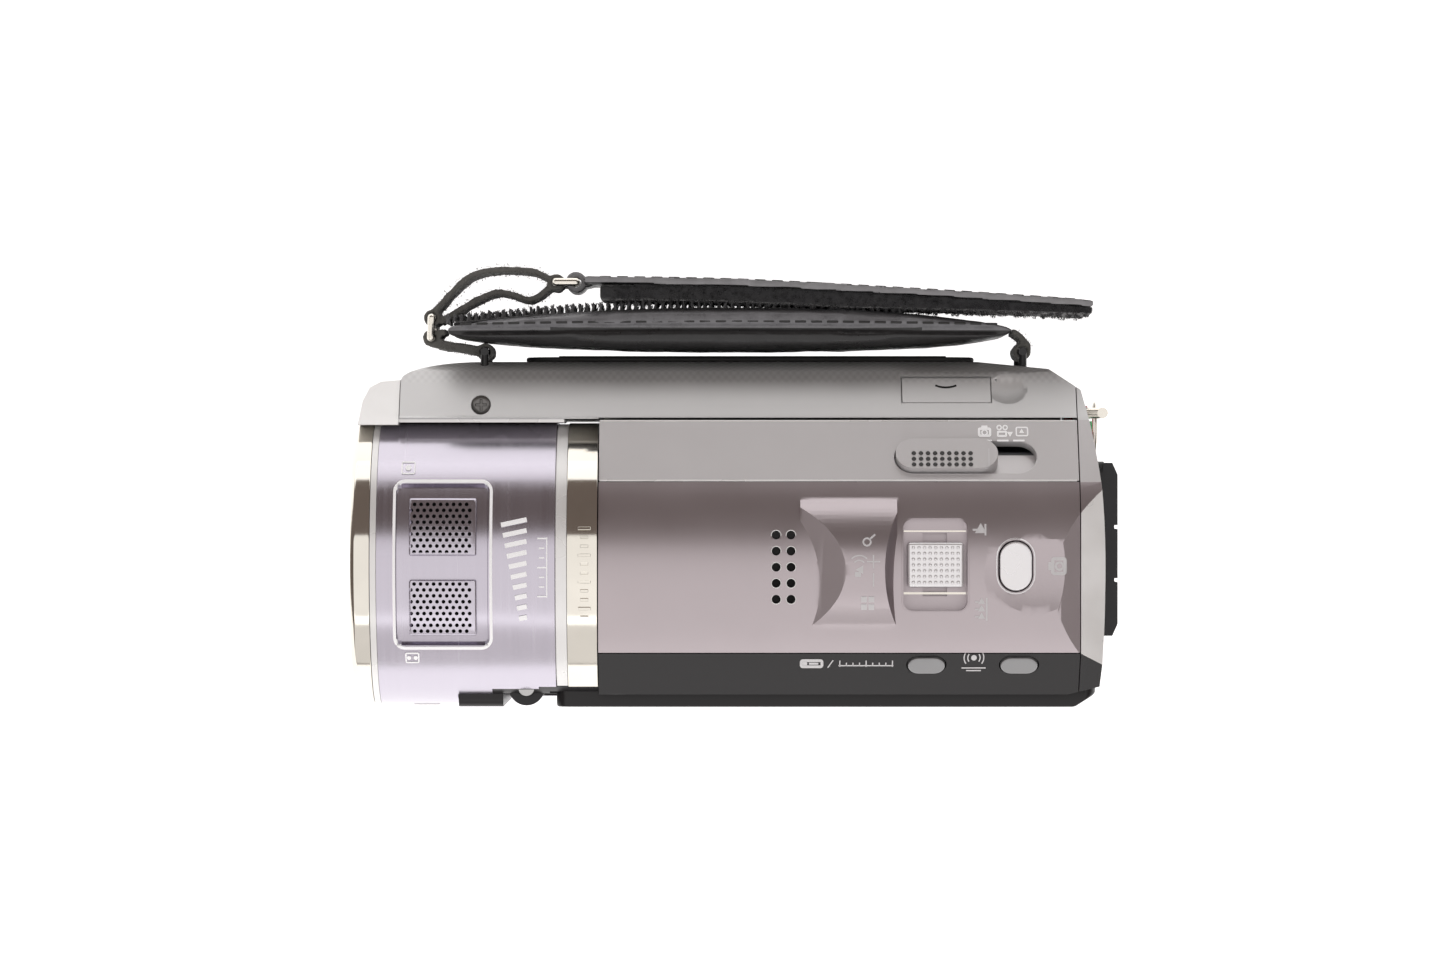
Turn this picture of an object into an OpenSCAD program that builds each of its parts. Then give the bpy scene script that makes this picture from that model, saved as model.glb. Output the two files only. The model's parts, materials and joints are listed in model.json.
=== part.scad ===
// Compact camcorder with a side LCD panel, a slide-out battery and a padded hand strap.
// Lens towards -X, rear towards +X, grip and strap on +Y, LCD panel on -Y, top is +Z.
// The origin is the mouth of the tripod socket, on the underside.

/* [Casing] */
// Length of the rear casing, from the chrome band to the rear face
casing_l = 75.7; // [70:0.1:95]
// Width of the casing, from the grip side to the LCD side
casing_w = 50; // [49:0.5:54]
// Height of the casing at its crown
casing_h = 62; // [60:0.5:76]
// Wall of the moulded covers
wall = 1.5; // [1.2:0.1:1.9]
// Visible seam between neighbouring covers
seam = 0.15; // [0.1:0.05:0.25]
// Radius of the crown's curve across the top
crown_r = 28; // [26:0.5:34]

/* [Lens barrel] */
// Radius of the round front barrel
barrel_r = 21.2; // [20.4:0.1:21.6]
// Length of the barrel's brushed cover
barrel_l = 26.5; // [26:0.1:32]
// Length of the chrome band behind the barrel
band_l = 4.5; // [3:0.1:6]
// Depth of the lens bezel ring at the top
bezel_t = 3; // [2.5:0.1:4]
// Clear radius of the lens cover
aperture_r = 8.6; // [7.5:0.1:8.8]
// Travel of the lens cover lever
cover_lever_travel = 6; // [5:0.5:7]

/* [LCD panel] */
// Height of the LCD panel
lcd_h = 42; // [36:0.5:43]
// Thickness of the LCD panel
lcd_t = 5.7; // [5:0.1:5.8]
// Radius of the hinge block
hinge_r = 2.7; // [2.5:0.1:2.8]
// Radius of the hinge pin
hinge_pin_r = 1.2; // [1:0.1:1.5]

/* [Controls] */
// Length of the mode switch slot
mode_slot_l = 21.3; // [20.8:0.1:24]
// Length of the mode switch knob
mode_knob_l = 15.3; // [12:0.1:15.4]
// Length of the zoom well, across the body
zoom_well_w = 13.6; // [13.4:0.1:14.2]
// Size of the zoom knob along the body
zoom_knob_l = 8.3; // [7:0.1:8.8]
// Size of the zoom knob across the body
zoom_knob_w = 6.7; // [5:0.1:6.8]
// Travel of the zoom knob each way
zoom_travel = 3.2; // [2:0.1:3.2]
// Height of the hump ahead of the zoom well
hump_rise = 2.1; // [1.2:0.1:2.6]
// Gap around each button
button_gap = 0.2; // [0.15:0.05:0.3]

/* [Battery] */
// Width of the battery pack
battery_w = 26.5; // [24:0.5:32]
// Height of the battery pack
battery_h = 36; // [30:0.5:37]
// Length of the battery pack
battery_l = 39.5; // [34:0.5:41]
// Running gap around the battery pack
battery_gap = 0.3; // [0.2:0.05:0.4]

/* [Hand strap] */
// Width of the padded strap
strap_w = 30; // [26:1:34]
// Width of the webbing
web_w = 15; // [12:0.5:18]
// Thickness of the webbing
web_t = 1.1; // [0.8:0.1:1.4]
// Greatest thickness of the pad
pad_t = 5.2; // [4:0.1:5.4]

/* [Hidden] */
$fn = 48;
eps = 0.01;
big = 200;

// Stations along the body
band_x1 = -20.7;
band_x0 = band_x1 - band_l;
frame_x0 = band_x0 - 1.65;
barrel_x0 = frame_x0 - seam - barrel_l;
bezel_x1 = barrel_x0 - 1;
bezel_x0 = bezel_x1 - bezel_t;
rear_x = band_x1 + casing_l;
split_x = rear_x - 3.8;
taper_x = rear_x - 7.8;

// Sides and the barrel's axis
left_y = -24;
right_y = left_y + casing_w;
barrel_y = left_y - 1.7 + barrel_r;
barrel_z = casing_h + 0.6 - barrel_r;
rear_corner_left = [rear_x - 0.7, left_y + 1.2];
rear_corner_right = [rear_x - 3.1, right_y - 4.3];
rear_peak = 0.4;

// Crown, strip facet and grip facet of the casing's section
crown_y = -7.4;
crown_z = casing_h - crown_r;
function crown_at(y) = crown_z + sqrt(crown_r * crown_r - pow(y - crown_y, 2));
slope_y = -17.6;
strip_top = [right_y - 18.2, crown_at(right_y - 18.2)];
strip_low = strip_top + [9.3, -6.6];
strip_tilt = atan2(6.6, 9.3);
grip_top = strip_low + [0.7, -1];
grip_low = grip_top + [6.7, -6];
grip_tilt = atan2(6, 6.7);
grip_front_x = barrel_x0 + 2.9;
grip_front_l = 12.6;
grip_front_w = 2.8;

function section_points() = concat(
    [[left_y + 4, 0], [right_y - 8, 0], [right_y - 2, 5], [right_y, 12], [right_y, grip_low[1] - 3.9]],
    [grip_low, grip_top, strip_low],
    [for (k = [0:24]) let (y = strip_top[0] + (slope_y - strip_top[0]) * k / 24) [y, crown_at(y)]],
    [[left_y, crown_at(slope_y) + left_y - slope_y], [left_y, 4]]
);

// Rear face in plan: it drops from its peak towards both corners, u runs from 0 at the left to 1 at the right
function rear_drop(u) = u < rear_peak ? (rear_x - rear_corner_left[0]) * pow(1 - u / rear_peak, 2)
    : (rear_x - rear_corner_right[0]) * pow((u - rear_peak) / (1 - rear_peak), 2.2);
function plan_points() = concat(
    [[grip_front_x, left_y], [rear_x - 5.4, left_y]],
    [for (k = [0:16]) let (u = k / 16)
        [rear_x - rear_drop(u), rear_corner_left[1] + (rear_corner_right[1] - rear_corner_left[1]) * u]],
    [[taper_x, right_y - 1.1], [rear_x - 18.5, right_y]],
    [for (a = [0:10:90])
        [grip_front_x + grip_front_l * (1 - sin(a)), right_y - grip_front_w * (1 - cos(a))]]
);

// Plain shapes placed by their ends
module block(low, high) translate(low) cube(high - low);
module along_x(x0, x1) translate([x0, 0, 0]) rotate([90, 0, 90]) linear_extrude(x1 - x0) children();
module along_y(y0, y1) translate([0, y1, 0]) rotate([90, 0, 0]) linear_extrude(y1 - y0) children();
module along_z(z0, z1) translate([0, 0, z0]) linear_extrude(z1 - z0) children();
module rod_x(x0, x1, r, y, z) translate([x0, y, z]) rotate([0, 90, 0]) cylinder(h = x1 - x0, r = r);
module rod_y(y0, y1, r, x, z) translate([x, y1, z]) rotate([90, 0, 0]) cylinder(h = y1 - y0, r = r);
module rod_z(z0, z1, r, x, y) translate([x, y, z0]) cylinder(h = z1 - z0, r = r);

// Two plain outlines: a stadium along x, and a rectangle with round corners
module stadium(l, w) {
    square([l - w, w], center = true);
    for (s = [-1, 1]) translate([s * (l - w) / 2, 0]) circle(w / 2);
}
module round_rect(low, high, r) {
    translate(low + [r, 0]) square([high[0] - low[0] - 2 * r, high[1] - low[1]]);
    translate(low + [0, r]) square([high[0] - low[0], high[1] - low[1] - 2 * r]);
    for (x = [low[0] + r, high[0] - r], y = [low[1] + r, high[1] - r]) translate([x, y]) circle(r);
}

// The casing as a solid, drawn in by i all round, and its covers' regions across the body
module casing(i) intersection() {
    along_x(grip_front_x - 5, rear_x + 5) offset(delta = -i) polygon(section_points());
    along_z(-5, casing_h + 10) offset(delta = -i) polygon(plan_points());
    along_y(-big, big) offset(delta = -i) polygon([
        [-big, 0], [big, 0], [big, 0] + [0, 5], [rear_x, casing_h - 4], [taper_x, casing_h], [-big, casing_h]
    ]);
}
module casing_shell() difference() {
    casing(0);
    casing(wall);
}
module cover_region(x0, x1, points) intersection() {
    casing_shell();
    along_x(x0, x1) polygon(points);
}
rear_panel_x0 = band_x1 + seam;
rear_panel_x1 = split_x - seam / 2;
base_y0 = left_y + 8;
base_y1 = right_y - 8.8;

// Round front barrel with its square foot, drawn in by i
module barrel_outline(i) {
    translate([barrel_y, barrel_z]) circle(barrel_r - i);
    round_rect([barrel_y - barrel_r + i, i], [barrel_y + barrel_r - i, barrel_z + 1], 6 - i);
}
module barrel_ring(x0, x1, i, t) along_x(x0, x1) difference() {
    barrel_outline(i);
    barrel_outline(i + t);
}

// LCD panel, its recess and its hinge
lcd_y0 = left_y - 2;
lcd_y1 = lcd_y0 + lcd_t;
lcd_mid_y = lcd_y0 + 3.4;
lcd_z0 = 8;
lcd_z1 = lcd_z0 + lcd_h;
lcd_x0 = band_x0 - 1.8;
lcd_x1 = rear_x - 1;
lcd_chamfer = [3.2, 2];
lcd_gap = 0.3;
lcd_swing_gap = 1;
hinge_x = lcd_x0 - 4.5;
hinge_y = lcd_y0 + 2.9;
hinge_z1 = lcd_z1 - 0.6;
recess_y = lcd_y1 + lcd_gap;
module recess(i) {
    block([lcd_x0 - lcd_swing_gap - i, -big, lcd_z0 - lcd_gap - i], [big, recess_y + i, lcd_z1 + lcd_gap + i]);
    block([hinge_x - hinge_r - 0.8 - i, -big, lcd_z0 - lcd_gap - i],
        [lcd_x0, recess_y + i, hinge_z1 + lcd_gap + i]);
}
hinge_cover_x0 = hinge_x - 10.2;
module hinge_cover(g) along_x(hinge_cover_x0 - g, hinge_x - hinge_r - 0.7) round_rect(
    [lcd_y0 - g, lcd_z0 - g], [recess_y + wall + g, hinge_z1 + g], 1.5);
module hinge_pin(r, z0, z1) rod_z(z0, z1, r, hinge_x, hinge_y);
hinge_arm_low = [hinge_x, hinge_y - 1.1, lcd_z0 + 6];
hinge_arm_high = [lcd_x0 + 5, hinge_y + 1.1, hinge_z1 - 6];

// Battery pack, which slides out to the rear
battery_x1 = rear_x + 2.5;
battery_x0 = battery_x1 - battery_l;
battery_y = left_y + 21.65;
battery_z0 = 10;
bay_t = 1;
module battery_room(i) block(
    [battery_x0 - i, battery_y - battery_w / 2 - i, battery_z0 - i],
    [big, battery_y + battery_w / 2 + i, battery_z0 + battery_h + i]);
module battery_body() along_x(battery_x0, battery_x1 - 2) round_rect(
    [battery_y - battery_w / 2, battery_z0], [battery_y + battery_w / 2, battery_z0 + battery_h], 2);

// Top controls
crown_mid_y = -4.5;
hump_y = crown_mid_y - 0.8;
hump_r = 13.45;
hump_x0 = rear_x - 45.5;
hump_top_x0 = hump_x0 + 6.7;
hump_top_x1 = hump_top_x0 + 5.8;
hump_x1 = hump_top_x1 + 1.9;
zoom_x = rear_x - 25.45;
zoom_well_l = 9.5;
zoom_floor_z = casing_h - 3.4;
zoom_floor_t = 1.2;
photo_x = rear_x - 13.5;
photo_y = -4.7;
photo_l = 7.3;
photo_w = 4.8;
dish_x = photo_x + 3;
dish_depth = 1.15;
dish_r = 30;
speaker_x = hump_x0 - 2.5;
board_z = casing_h - 7.2;
speaker_hole_r = 0.65;

// Strip and slope frames: z points out of the facet, x runs along the body
module on_strip(x) translate([x, strip_low[0], strip_low[1]]) rotate([-strip_tilt, 0, 0]) children();
module on_grip(x) translate([x, grip_low[0], grip_low[1]]) rotate([-grip_tilt, 0, 0]) children();
module on_slope(x) translate([x, slope_y, crown_at(slope_y)]) rotate([45, 0, 0]) children();
mode_x = band_x1 + 44.3;
mode_slot_w = 5.9;
mode_slot_y = -6.85;
slope_button_y = -2.6;
slope_button_l = 5.6;
slope_button_w = 3.4;
auto_x = rear_x - 26.7;
stabiliser_x = rear_x - 12.9;
jack_x = rear_x - 23.35;
jack_flap_l = 13.3;
jack_flap_w = 4.8;
jack_flap_y = -1.5;
jack_flap_t = 0.9;
jack_pin_r = 0.3;
jack_r = 1.75;
scoop_r = 5.8;

// Push button on a facet's frame: cap, flange behind the wall, and the hole it needs
flange_t = 0.6;
module stadium_button(l, w, proud) {
    translate([0, 0, -wall - 0.1]) linear_extrude(wall + 0.1 + proud) stadium(l, w);
    translate([0, 0, -wall - 0.1 - flange_t]) linear_extrude(flange_t) stadium(l + 1.4, w + 1.4);
}
module stadium_hole(l, w) translate([0, 0, -wall - 2]) linear_extrude(wall + 4)
    stadium(l + 2 * button_gap, w + 2 * button_gap);

// Lens stations
hood_x = barrel_x0 + 0.6;
blade_x0 = barrel_x0 + 0.9;
blade_t = 0.5;
blade_open = aperture_r + 0.4;
blade_r = barrel_r - 2.4;
housing_x0 = barrel_x0 + 3.1;
housing_x1 = housing_x0 + 42.4;
housing_r = barrel_r - 7.8;
housing_inner_r = housing_r - 1.2;
rod_offset = housing_inner_r - 2.6;
element_r = rod_offset - 3.6;
mouth_r = barrel_r - 5.2;
rod_r = 0.8;
rod_fit = 0.05;
screw_r = 0.9;
zoom_group_x = housing_x0 + 12;
focus_group_x = housing_x0 + 31;
group_t = 2;

module lens_ring(x0, x1, r_out, r_in) translate([x0, barrel_y, barrel_z]) rotate([0, 90, 0])
    difference() {
        cylinder(h = x1 - x0, r = r_out);
        translate([0, 0, -1]) cylinder(h = x1 - x0 + 2, r = r_in);
    }
// Guide rods stand left and right of the axis, the lead screw above it and the magnet below
module guide_rods(r, x0, x1) for (s = [-1, 1])
    rod_x(x0, x1, r, barrel_y + s * rod_offset, barrel_z);
module screw_rod(r, x0, x1) rod_x(x0, x1, r, barrel_y, barrel_z + rod_offset);
module lens_group(x) {
    difference() {
        lens_ring(x, x + group_t, housing_inner_r - 0.5, element_r);
        guide_rods(rod_r + rod_fit, x - 1, x + group_t + 1);
        screw_rod(screw_r + rod_fit, x - 1, x + group_t + 1);
        translate([x - 1, barrel_y - 2.3, barrel_z - housing_r]) cube([group_t + 2, 4.6, 5.4]);
    }
    rod_x(x + 0.3, x + group_t - 0.3, element_r, barrel_y, barrel_z);
}

// ---------- Frame and covers ----------
plate_z0 = 6;
plate_z1 = 7.2;
screw_shank_r = 0.8;
screw_head_r = 1.5;
base_screws = [[-14, 12.5], [12, 12.5], [rear_x - 8, 13], [rear_x - 9, base_y0 + 3.6], [12, base_y0 + 3.6]];
grip_screw = [barrel_x0 + 15.1, right_y - 6.6];
grip_screw_z = grip_top[1] - (grip_screw[1] - grip_top[0]) * 6 / 6.7;
bush_r = 6;
bush_flange_r = 7.5;
bush_h = 6.6;
bush_gap = 0.03;
thread_r = 3.175;
thread_l = 6;
card_x0 = -17.6;
card_l = 26;
card_t = 3.4;
card_y0 = base_y0 + 2.1;
card_slot_h = 26;
latch_y = battery_y - 2;
latch_z = 6.2;
latch_travel = 3;
record_y = right_y - 9.9;
record_z = 30;
record_r = 3.4;
lamp_y = right_y - 10;
lamp_z = 44;

module chassis_frame() color("silver") difference() {
    union() {
        block([band_x1 + 2, base_y0 + 1.4, plate_z0], [rear_x - 6, base_y1 - 2.4, plate_z1]);
        intersection() {
            battery_room(battery_gap + bay_t);
            block([-big, -big, -big], [split_x - 1, big, big]);
        }
        for (y = [battery_y - battery_w / 2, battery_y + battery_w / 2 - 3])
            block([battery_x0 + 4, y, plate_z1 - eps], [split_x - 6, y + 3, battery_z0 - battery_gap]);
    }
    battery_room(battery_gap);
    block([battery_x0 - 3, battery_y - 7, battery_z0 + 4], [battery_x0 + 3, battery_y + 7, battery_z0 + 12]);
    rod_z(0, plate_z1 + 1, bush_flange_r + 0.2, 0, 0);
    for (p = base_screws) rod_z(0, plate_z1 + 1, screw_shank_r, p[0], p[1]);
    block([card_x0 - 1, card_y0 - 1, 0], [card_x0 + card_l + 1, card_y0 + card_t + 1, plate_z1 + 1]);
    block([split_x - 4, latch_y - 8, 0], [big, latch_y + 8, plate_z1 + 1]);
}

door_y0 = card_y0 - 1.2;
door_y1 = card_y0 + card_t + 1.6;
door_t = 1.2;
door_pin_r = 0.5;
door_hinge_r = 0.95;
door_gap = 0.2;
door_axis = [door_y0 + 1, 1.15];
module door_room(g) block([card_x0 - 1.4 - g, door_y0 - g, -1], [card_x0 + card_l + 1.4 + g, door_y1 + g, door_t + g]);

module base_cover() color([0.2, 0.2, 0.22]) difference() {
    union() {
        cover_region(rear_panel_x0, rear_panel_x1, [
            [base_y0 + seam, -1], [base_y1 - seam, -1], [base_y1 - seam, wall + 0.5], [base_y0 + seam, wall + 0.5]
        ]);
        block([rear_panel_x0, door_y0 - 0.4, eps], [card_x0 + card_l + 2.9, door_y1 + 1.4, 2.6]);
    }
    rod_z(-1, 5, bush_r + bush_gap, 0, 0);
    door_room(door_gap);
    rod_x(card_x0 - 1.4 - door_gap, card_x0 + card_l + 1.4 + door_gap, door_hinge_r + door_gap,
        door_axis[0], door_axis[1]);
    rod_x(card_x0 - 2.4, card_x0 + card_l + 2.4, door_pin_r, door_axis[0], door_axis[1]);
    block([card_x0, card_y0, -1], [card_x0 + card_l, card_y0 + card_t, 5]);
    for (p = base_screws) {
        rod_z(-1, 5, screw_shank_r, p[0], p[1]);
        rod_z(-1, 0.9, screw_head_r, p[0], p[1]);
    }
}

module tripod_bush() color("gainsboro") difference() {
    union() {
        rod_z(0, bush_h, bush_r, 0, 0);
        rod_z(wall, wall + 1.2, bush_flange_r, 0, 0);
    }
    rod_z(-1, thread_l, thread_r, 0, 0);
}

grip_wall_y = barrel_y + barrel_r + 0.6;
module grip_side_shell() color([0.28, 0.28, 0.29]) difference() {
    union() {
        cover_region(-big, rear_panel_x1, [
            [base_y1, -1], [big, -1], [big, big], [strip_low[0] + 0.35, big],
            [strip_low[0] + 0.35, strip_low[1] - 9], [base_y1, strip_low[1] - 9]
        ]);
        on_grip(jack_x) translate([-jack_flap_l / 2 - 1.6, jack_flap_y - jack_flap_w - 1.4, -wall - 1.4])
            cube([jack_flap_l + 3.2, jack_flap_w + 2, 2.5]);
        intersection() {
            casing(eps);
            block([grip_front_x, grip_wall_y, 0], [band_x1, grip_wall_y + wall, strip_low[1] - 1]);
        }
    }
    rod_z(grip_screw_z - 1.4, casing_h, screw_head_r, grip_screw[0], grip_screw[1]);
    rod_z(0, casing_h, screw_shank_r, grip_screw[0], grip_screw[1]);
    on_grip(jack_x) {
        translate([-jack_flap_l / 2 - 0.2, jack_flap_y - jack_flap_w - 0.2, -jack_flap_t - 0.1])
            cube([jack_flap_l + 0.4, jack_flap_w + 0.2, 5]);
        translate([-jack_flap_l / 2 - 0.2, jack_flap_y, -jack_flap_t / 2]) rotate([0, 90, 0])
            cylinder(h = jack_flap_l + 0.4, r = jack_flap_t / 2 + 0.2);
        translate([-jack_flap_l / 2 - 1, jack_flap_y, -jack_flap_t / 2]) rotate([0, 90, 0])
            cylinder(h = jack_flap_l + 2, r = jack_pin_r);
        translate([0, jack_flap_y - jack_flap_w / 2 - 0.3, -9]) cylinder(h = 12, r = jack_r);
        translate([jack_flap_l / 2 + 2.6, jack_flap_y - 2.2, scoop_r - 0.9]) sphere(scoop_r);
    }
    rod_x(split_x - 1.5, big, record_r + button_gap, record_y, record_z);
    anchor_feet();
}

av_x = -4;
av_ports_list = [[11.2, 3.2, 43], [7.4, 2.6, 37.5], [9.4, 3.4, 31.5]];
power_x = rear_x - 25;
power_z = 40;
power_r = 3;

module left_side_shell() color([0.17, 0.17, 0.18]) difference() {
    union() {
        cover_region(rear_panel_x0, rear_panel_x1, [
            [-big, -1], [base_y0, -1], [base_y0, crown_at(slope_y) - 12],
            [slope_y + 8 - seam, crown_at(slope_y) - 8 - seam], [slope_y - seam, crown_at(slope_y) - seam],
            [slope_y - seam, big], [-big, big]
        ]);
        intersection() {
            recess(wall);
            union() {
                intersection() {
                    casing(eps);
                    block([rear_panel_x0, -big, -big], [rear_panel_x1, big, big]);
                }
                along_x(hinge_x - 5.1, rear_panel_x0 + eps) barrel_outline(0.1);
            }
        }
        hinge_cover(0);
    }
    recess(0);
    hinge_pin(hinge_pin_r, lcd_z0 - lcd_gap - 1.2, hinge_z1 + lcd_gap + 1.2);
    for (x = [auto_x, stabiliser_x]) on_slope(x) translate([0, slope_button_y, 0])
        stadium_hole(slope_button_l, slope_button_w);
    for (p = av_ports_list) block([av_x + 1, -big, p[2]], [av_x + 1 + p[0], recess_y + 9, p[2] + p[1]]);
    rod_y(recess_y - 3, recess_y + 4, power_r + button_gap, power_x, power_z);
}

module crown_plate() cover_region(rear_panel_x0, rear_panel_x1, [
    [slope_y + 8, crown_at(slope_y) - 8], [strip_top[0], crown_at(slope_y) - 12], [strip_top[0], big],
    [slope_y, big], [slope_y, crown_at(slope_y)]
]);
module hump() difference() {
    along_x(hump_x0, hump_x1) translate([hump_y, casing_h + hump_rise - hump_r]) circle(hump_r);
    along_y(-big, big) polygon([
        [hump_x0 - 1, casing_h - 2.2], [hump_top_x0, casing_h + hump_rise], [hump_top_x0, big],
        [hump_x0 - 1, big]
    ]);
    along_y(-big, big) polygon([
        [hump_top_x1, casing_h + hump_rise], [hump_x1 + eps, casing_h - 1], [hump_x1 + 1, big], [hump_top_x1, big]
    ]);
    casing(wall);
}
module zoom_well(i, z0, z1) along_z(z0, z1) round_rect(
    [zoom_x - zoom_well_l / 2 - i, crown_mid_y - zoom_well_w / 2 - i],
    [zoom_x + zoom_well_l / 2 + i, crown_mid_y + zoom_well_w / 2 + i], 1.4 + i);
zoom_stem = [3, 2.4];

module top_cover() color([0.36, 0.33, 0.35]) difference() {
    union() {
        crown_plate();
        hump();
        intersection() {
            union() {
                zoom_well(1.1, zoom_floor_z - zoom_floor_t, casing_h);
                translate([dish_x, photo_y, casing_h - 3.6]) cylinder(h = 4, r = 9.5);
            }
            casing(eps);
            block([-big, -big, -big], [rear_panel_x1, big, big]);
        }
    }
    zoom_well(0, zoom_floor_z, casing_h + 9);
    along_z(zoom_floor_z - 5, zoom_floor_z + 1) translate([zoom_x, crown_mid_y]) square(
        [zoom_stem[0] + 0.6, zoom_stem[1] + 0.6 + 2 * zoom_travel], center = true);
    for (x = [-1, 1], y = [-2:2]) rod_z(casing_h - 9, casing_h + 2, speaker_hole_r,
        speaker_x + x * 1.1, photo_y - 0.15 + y * 2.38);
    translate([dish_x, photo_y, casing_h - dish_depth + dish_r]) sphere(dish_r);
    along_z(casing_h - 9, casing_h + 9) translate([photo_x, photo_y]) rotate(90)
        stadium(photo_l + 2 * button_gap, photo_w + 2 * button_gap);
}

module mode_switch_trim() color([0.34, 0.34, 0.34]) difference() {
    cover_region(rear_panel_x0, rear_panel_x1, [
        [strip_top[0] + seam, strip_low[1] - 6], [strip_low[0], strip_low[1] - 6],
        [strip_low[0], big], [strip_top[0] + seam, big]
    ]);
    on_strip(mode_x + mode_slot_l / 2) translate([0, mode_slot_y, -wall - 1])
        linear_extrude(wall + 3) stadium(mode_slot_l, mode_slot_w);
}

module rear_cover() color([0.3, 0.3, 0.31]) difference() {
    intersection() {
        casing_shell();
        block([split_x + seam / 2, -big, -big], [big, big, big]);
    }
    battery_room(battery_gap);
    recess(0);
    rod_x(0, big, record_r + button_gap, record_y, record_z);
    rod_x(0, big, 1, lamp_y, lamp_z);
    block([0, latch_y - 2, latch_z - 1], [big, latch_y + 2 + latch_travel, latch_z + 1]);
    strap_lug_wire(0);
}

module chrome_band() color([0.72, 0.7, 0.62]) difference() {
    barrel_ring(band_x0, band_x1, 0, wall);
    recess(wall + 0.1);
}

window_x0 = barrel_x0 + 2.9;
window_x1 = barrel_x0 + 16.6;
window_half = 12;
skin_t = 0.8;
sleeve_t = 1.2;
lever_x = barrel_x0 + 6.5;
lever_z = barrel_z - 7.5;
lever_slot_w = 2.2;
module mic_window(g) block([window_x0 - g, barrel_y - window_half - g, barrel_z],
    [window_x1 + g, barrel_y + window_half + g, casing_h + 9]);
module lever_slot(g) block([lever_x - lever_slot_w / 2 - g, -big, lever_z - 1.2 - cover_lever_travel - g],
    [lever_x + lever_slot_w / 2 + g, barrel_y - 15, lever_z + 1.2 + g]);

// Silver front panel beside the barrel, and the lip that rises between the barrel and the grip
panel_y0 = barrel_y + barrel_r + 0.05;
panel_y1 = right_y - 2.8;
lip_t = 0.5;
module front_panel() {
    intersection() {
        along_x(bezel_x0, grip_front_x - seam) offset(delta = -0.6) polygon(section_points());
        along_z(-1, casing_h) polygon([
            [grip_front_x - seam, barrel_y], [grip_front_x - seam, panel_y1], [bezel_x1 + 0.9, panel_y1 - 0.2],
            [bezel_x1 - 0.8, panel_y1 - 1.1], [bezel_x1 - 1.8, panel_y1 - 3.2], [bezel_x1 - 2.4, panel_y0 - 0.6],
            [bezel_x1 - 2.5, barrel_y]
        ]);
        difference() {
            block([-big, panel_y0 - 0.4, 0.6], [big, big, casing_h]);
            along_x(-big, big) barrel_outline(-0.05);
        }
    }
    block([bezel_x1 + 0.1, barrel_y + barrel_r - 1, 6], [barrel_x0 - 0.1, panel_y0 + 1, barrel_z]);
    block([grip_front_x - 1, panel_y0, barrel_z - 8], [frame_x0 + 1, panel_y0 + lip_t, grip_top[1] - 0.3]);
}

module barrel_sleeve() color([0.82, 0.82, 0.8]) difference() {
    union() {
        front_panel();
        along_x(bezel_x1 + 0.05, barrel_x0 - 0.05) difference() {
            barrel_outline(0);
            translate([barrel_y, barrel_z]) circle(mouth_r);
        }
        barrel_ring(barrel_x0 - 0.1, frame_x0 + eps, skin_t + 0.1, sleeve_t);
        barrel_ring(frame_x0, band_x0 - 0.05, 0.15, skin_t + sleeve_t - 0.05);
    }
    recess(wall + 0.1);
    hinge_cover(0.1);
    mic_window(0);
    lever_slot(0.2);
}

module barrel_cover() color([0.62, 0.6, 0.68]) difference() {
    barrel_ring(barrel_x0, frame_x0 - seam, 0, skin_t);
    recess(0.05);
    recess(wall + 0.1);
    hinge_cover(0.1);
    mic_window(0);
    lever_slot(0.2);
}

// ---------- Lens ----------
module lens_bezel() color([0.8, 0.78, 0.72]) difference() {
    translate([bezel_x1, barrel_y, barrel_z]) rotate([0, -90, 0]) rotate_extrude() polygon([
        [mouth_r - 0.5, 0], [barrel_r, 0], [barrel_r, bezel_t - 0.7], [barrel_r - 0.6, bezel_t],
        [mouth_r + 0.8, bezel_t], [mouth_r - 0.5, bezel_t - 1.2]
    ]);
    translate([bezel_x0, 0, barrel_z + barrel_r]) rotate([0, 3, 0])
        block([-big, -big, -big], [0, big, big]);
}

module lens_hood() color([0.08, 0.08, 0.09]) translate([hood_x, barrel_y, barrel_z]) rotate([0, -90, 0])
    rotate_extrude() polygon([
        [aperture_r, 0], [mouth_r - 0.1, 0], [mouth_r - 0.1, 1.2], [mouth_r - 0.6, 1.2], [mouth_r - 0.6, 2.6],
        [mouth_r - 1.4, 2.6], [aperture_r, 0.6]
    ]);

module front_lens() color([0.2, 0.28, 0.36, 0.6]) intersection() {
    rod_x(housing_x0 + 0.8, housing_x0 + 6, housing_inner_r - 0.05, barrel_y, barrel_z);
    translate([housing_x0 + 0.8 + 24, barrel_y, barrel_z]) sphere(24);
}

module lens_housing() color([0.15, 0.15, 0.16]) difference() {
    union() {
        lens_ring(housing_x0, housing_x1, housing_r, housing_inner_r);
        lens_ring(housing_x0, housing_x0 + 1, barrel_r - skin_t - sleeve_t - 0.4, housing_inner_r);
        rod_x(housing_x1 - 1.4, housing_x1, housing_inner_r + 0.2, barrel_y, barrel_z);
    }
    guide_rods(rod_r, housing_x1 - 2, housing_x1 + 1);
    screw_rod(screw_r + rod_fit, housing_x1 - 2, housing_x1 + 1);
    block([housing_x1 - 2, barrel_y - 4, barrel_z - 3], [housing_x1 + 1, barrel_y + 4, barrel_z + 3]);
}

module lens_guide_rods() color("silver") guide_rods(rod_r, housing_x0 + 6.2, housing_x1);

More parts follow.
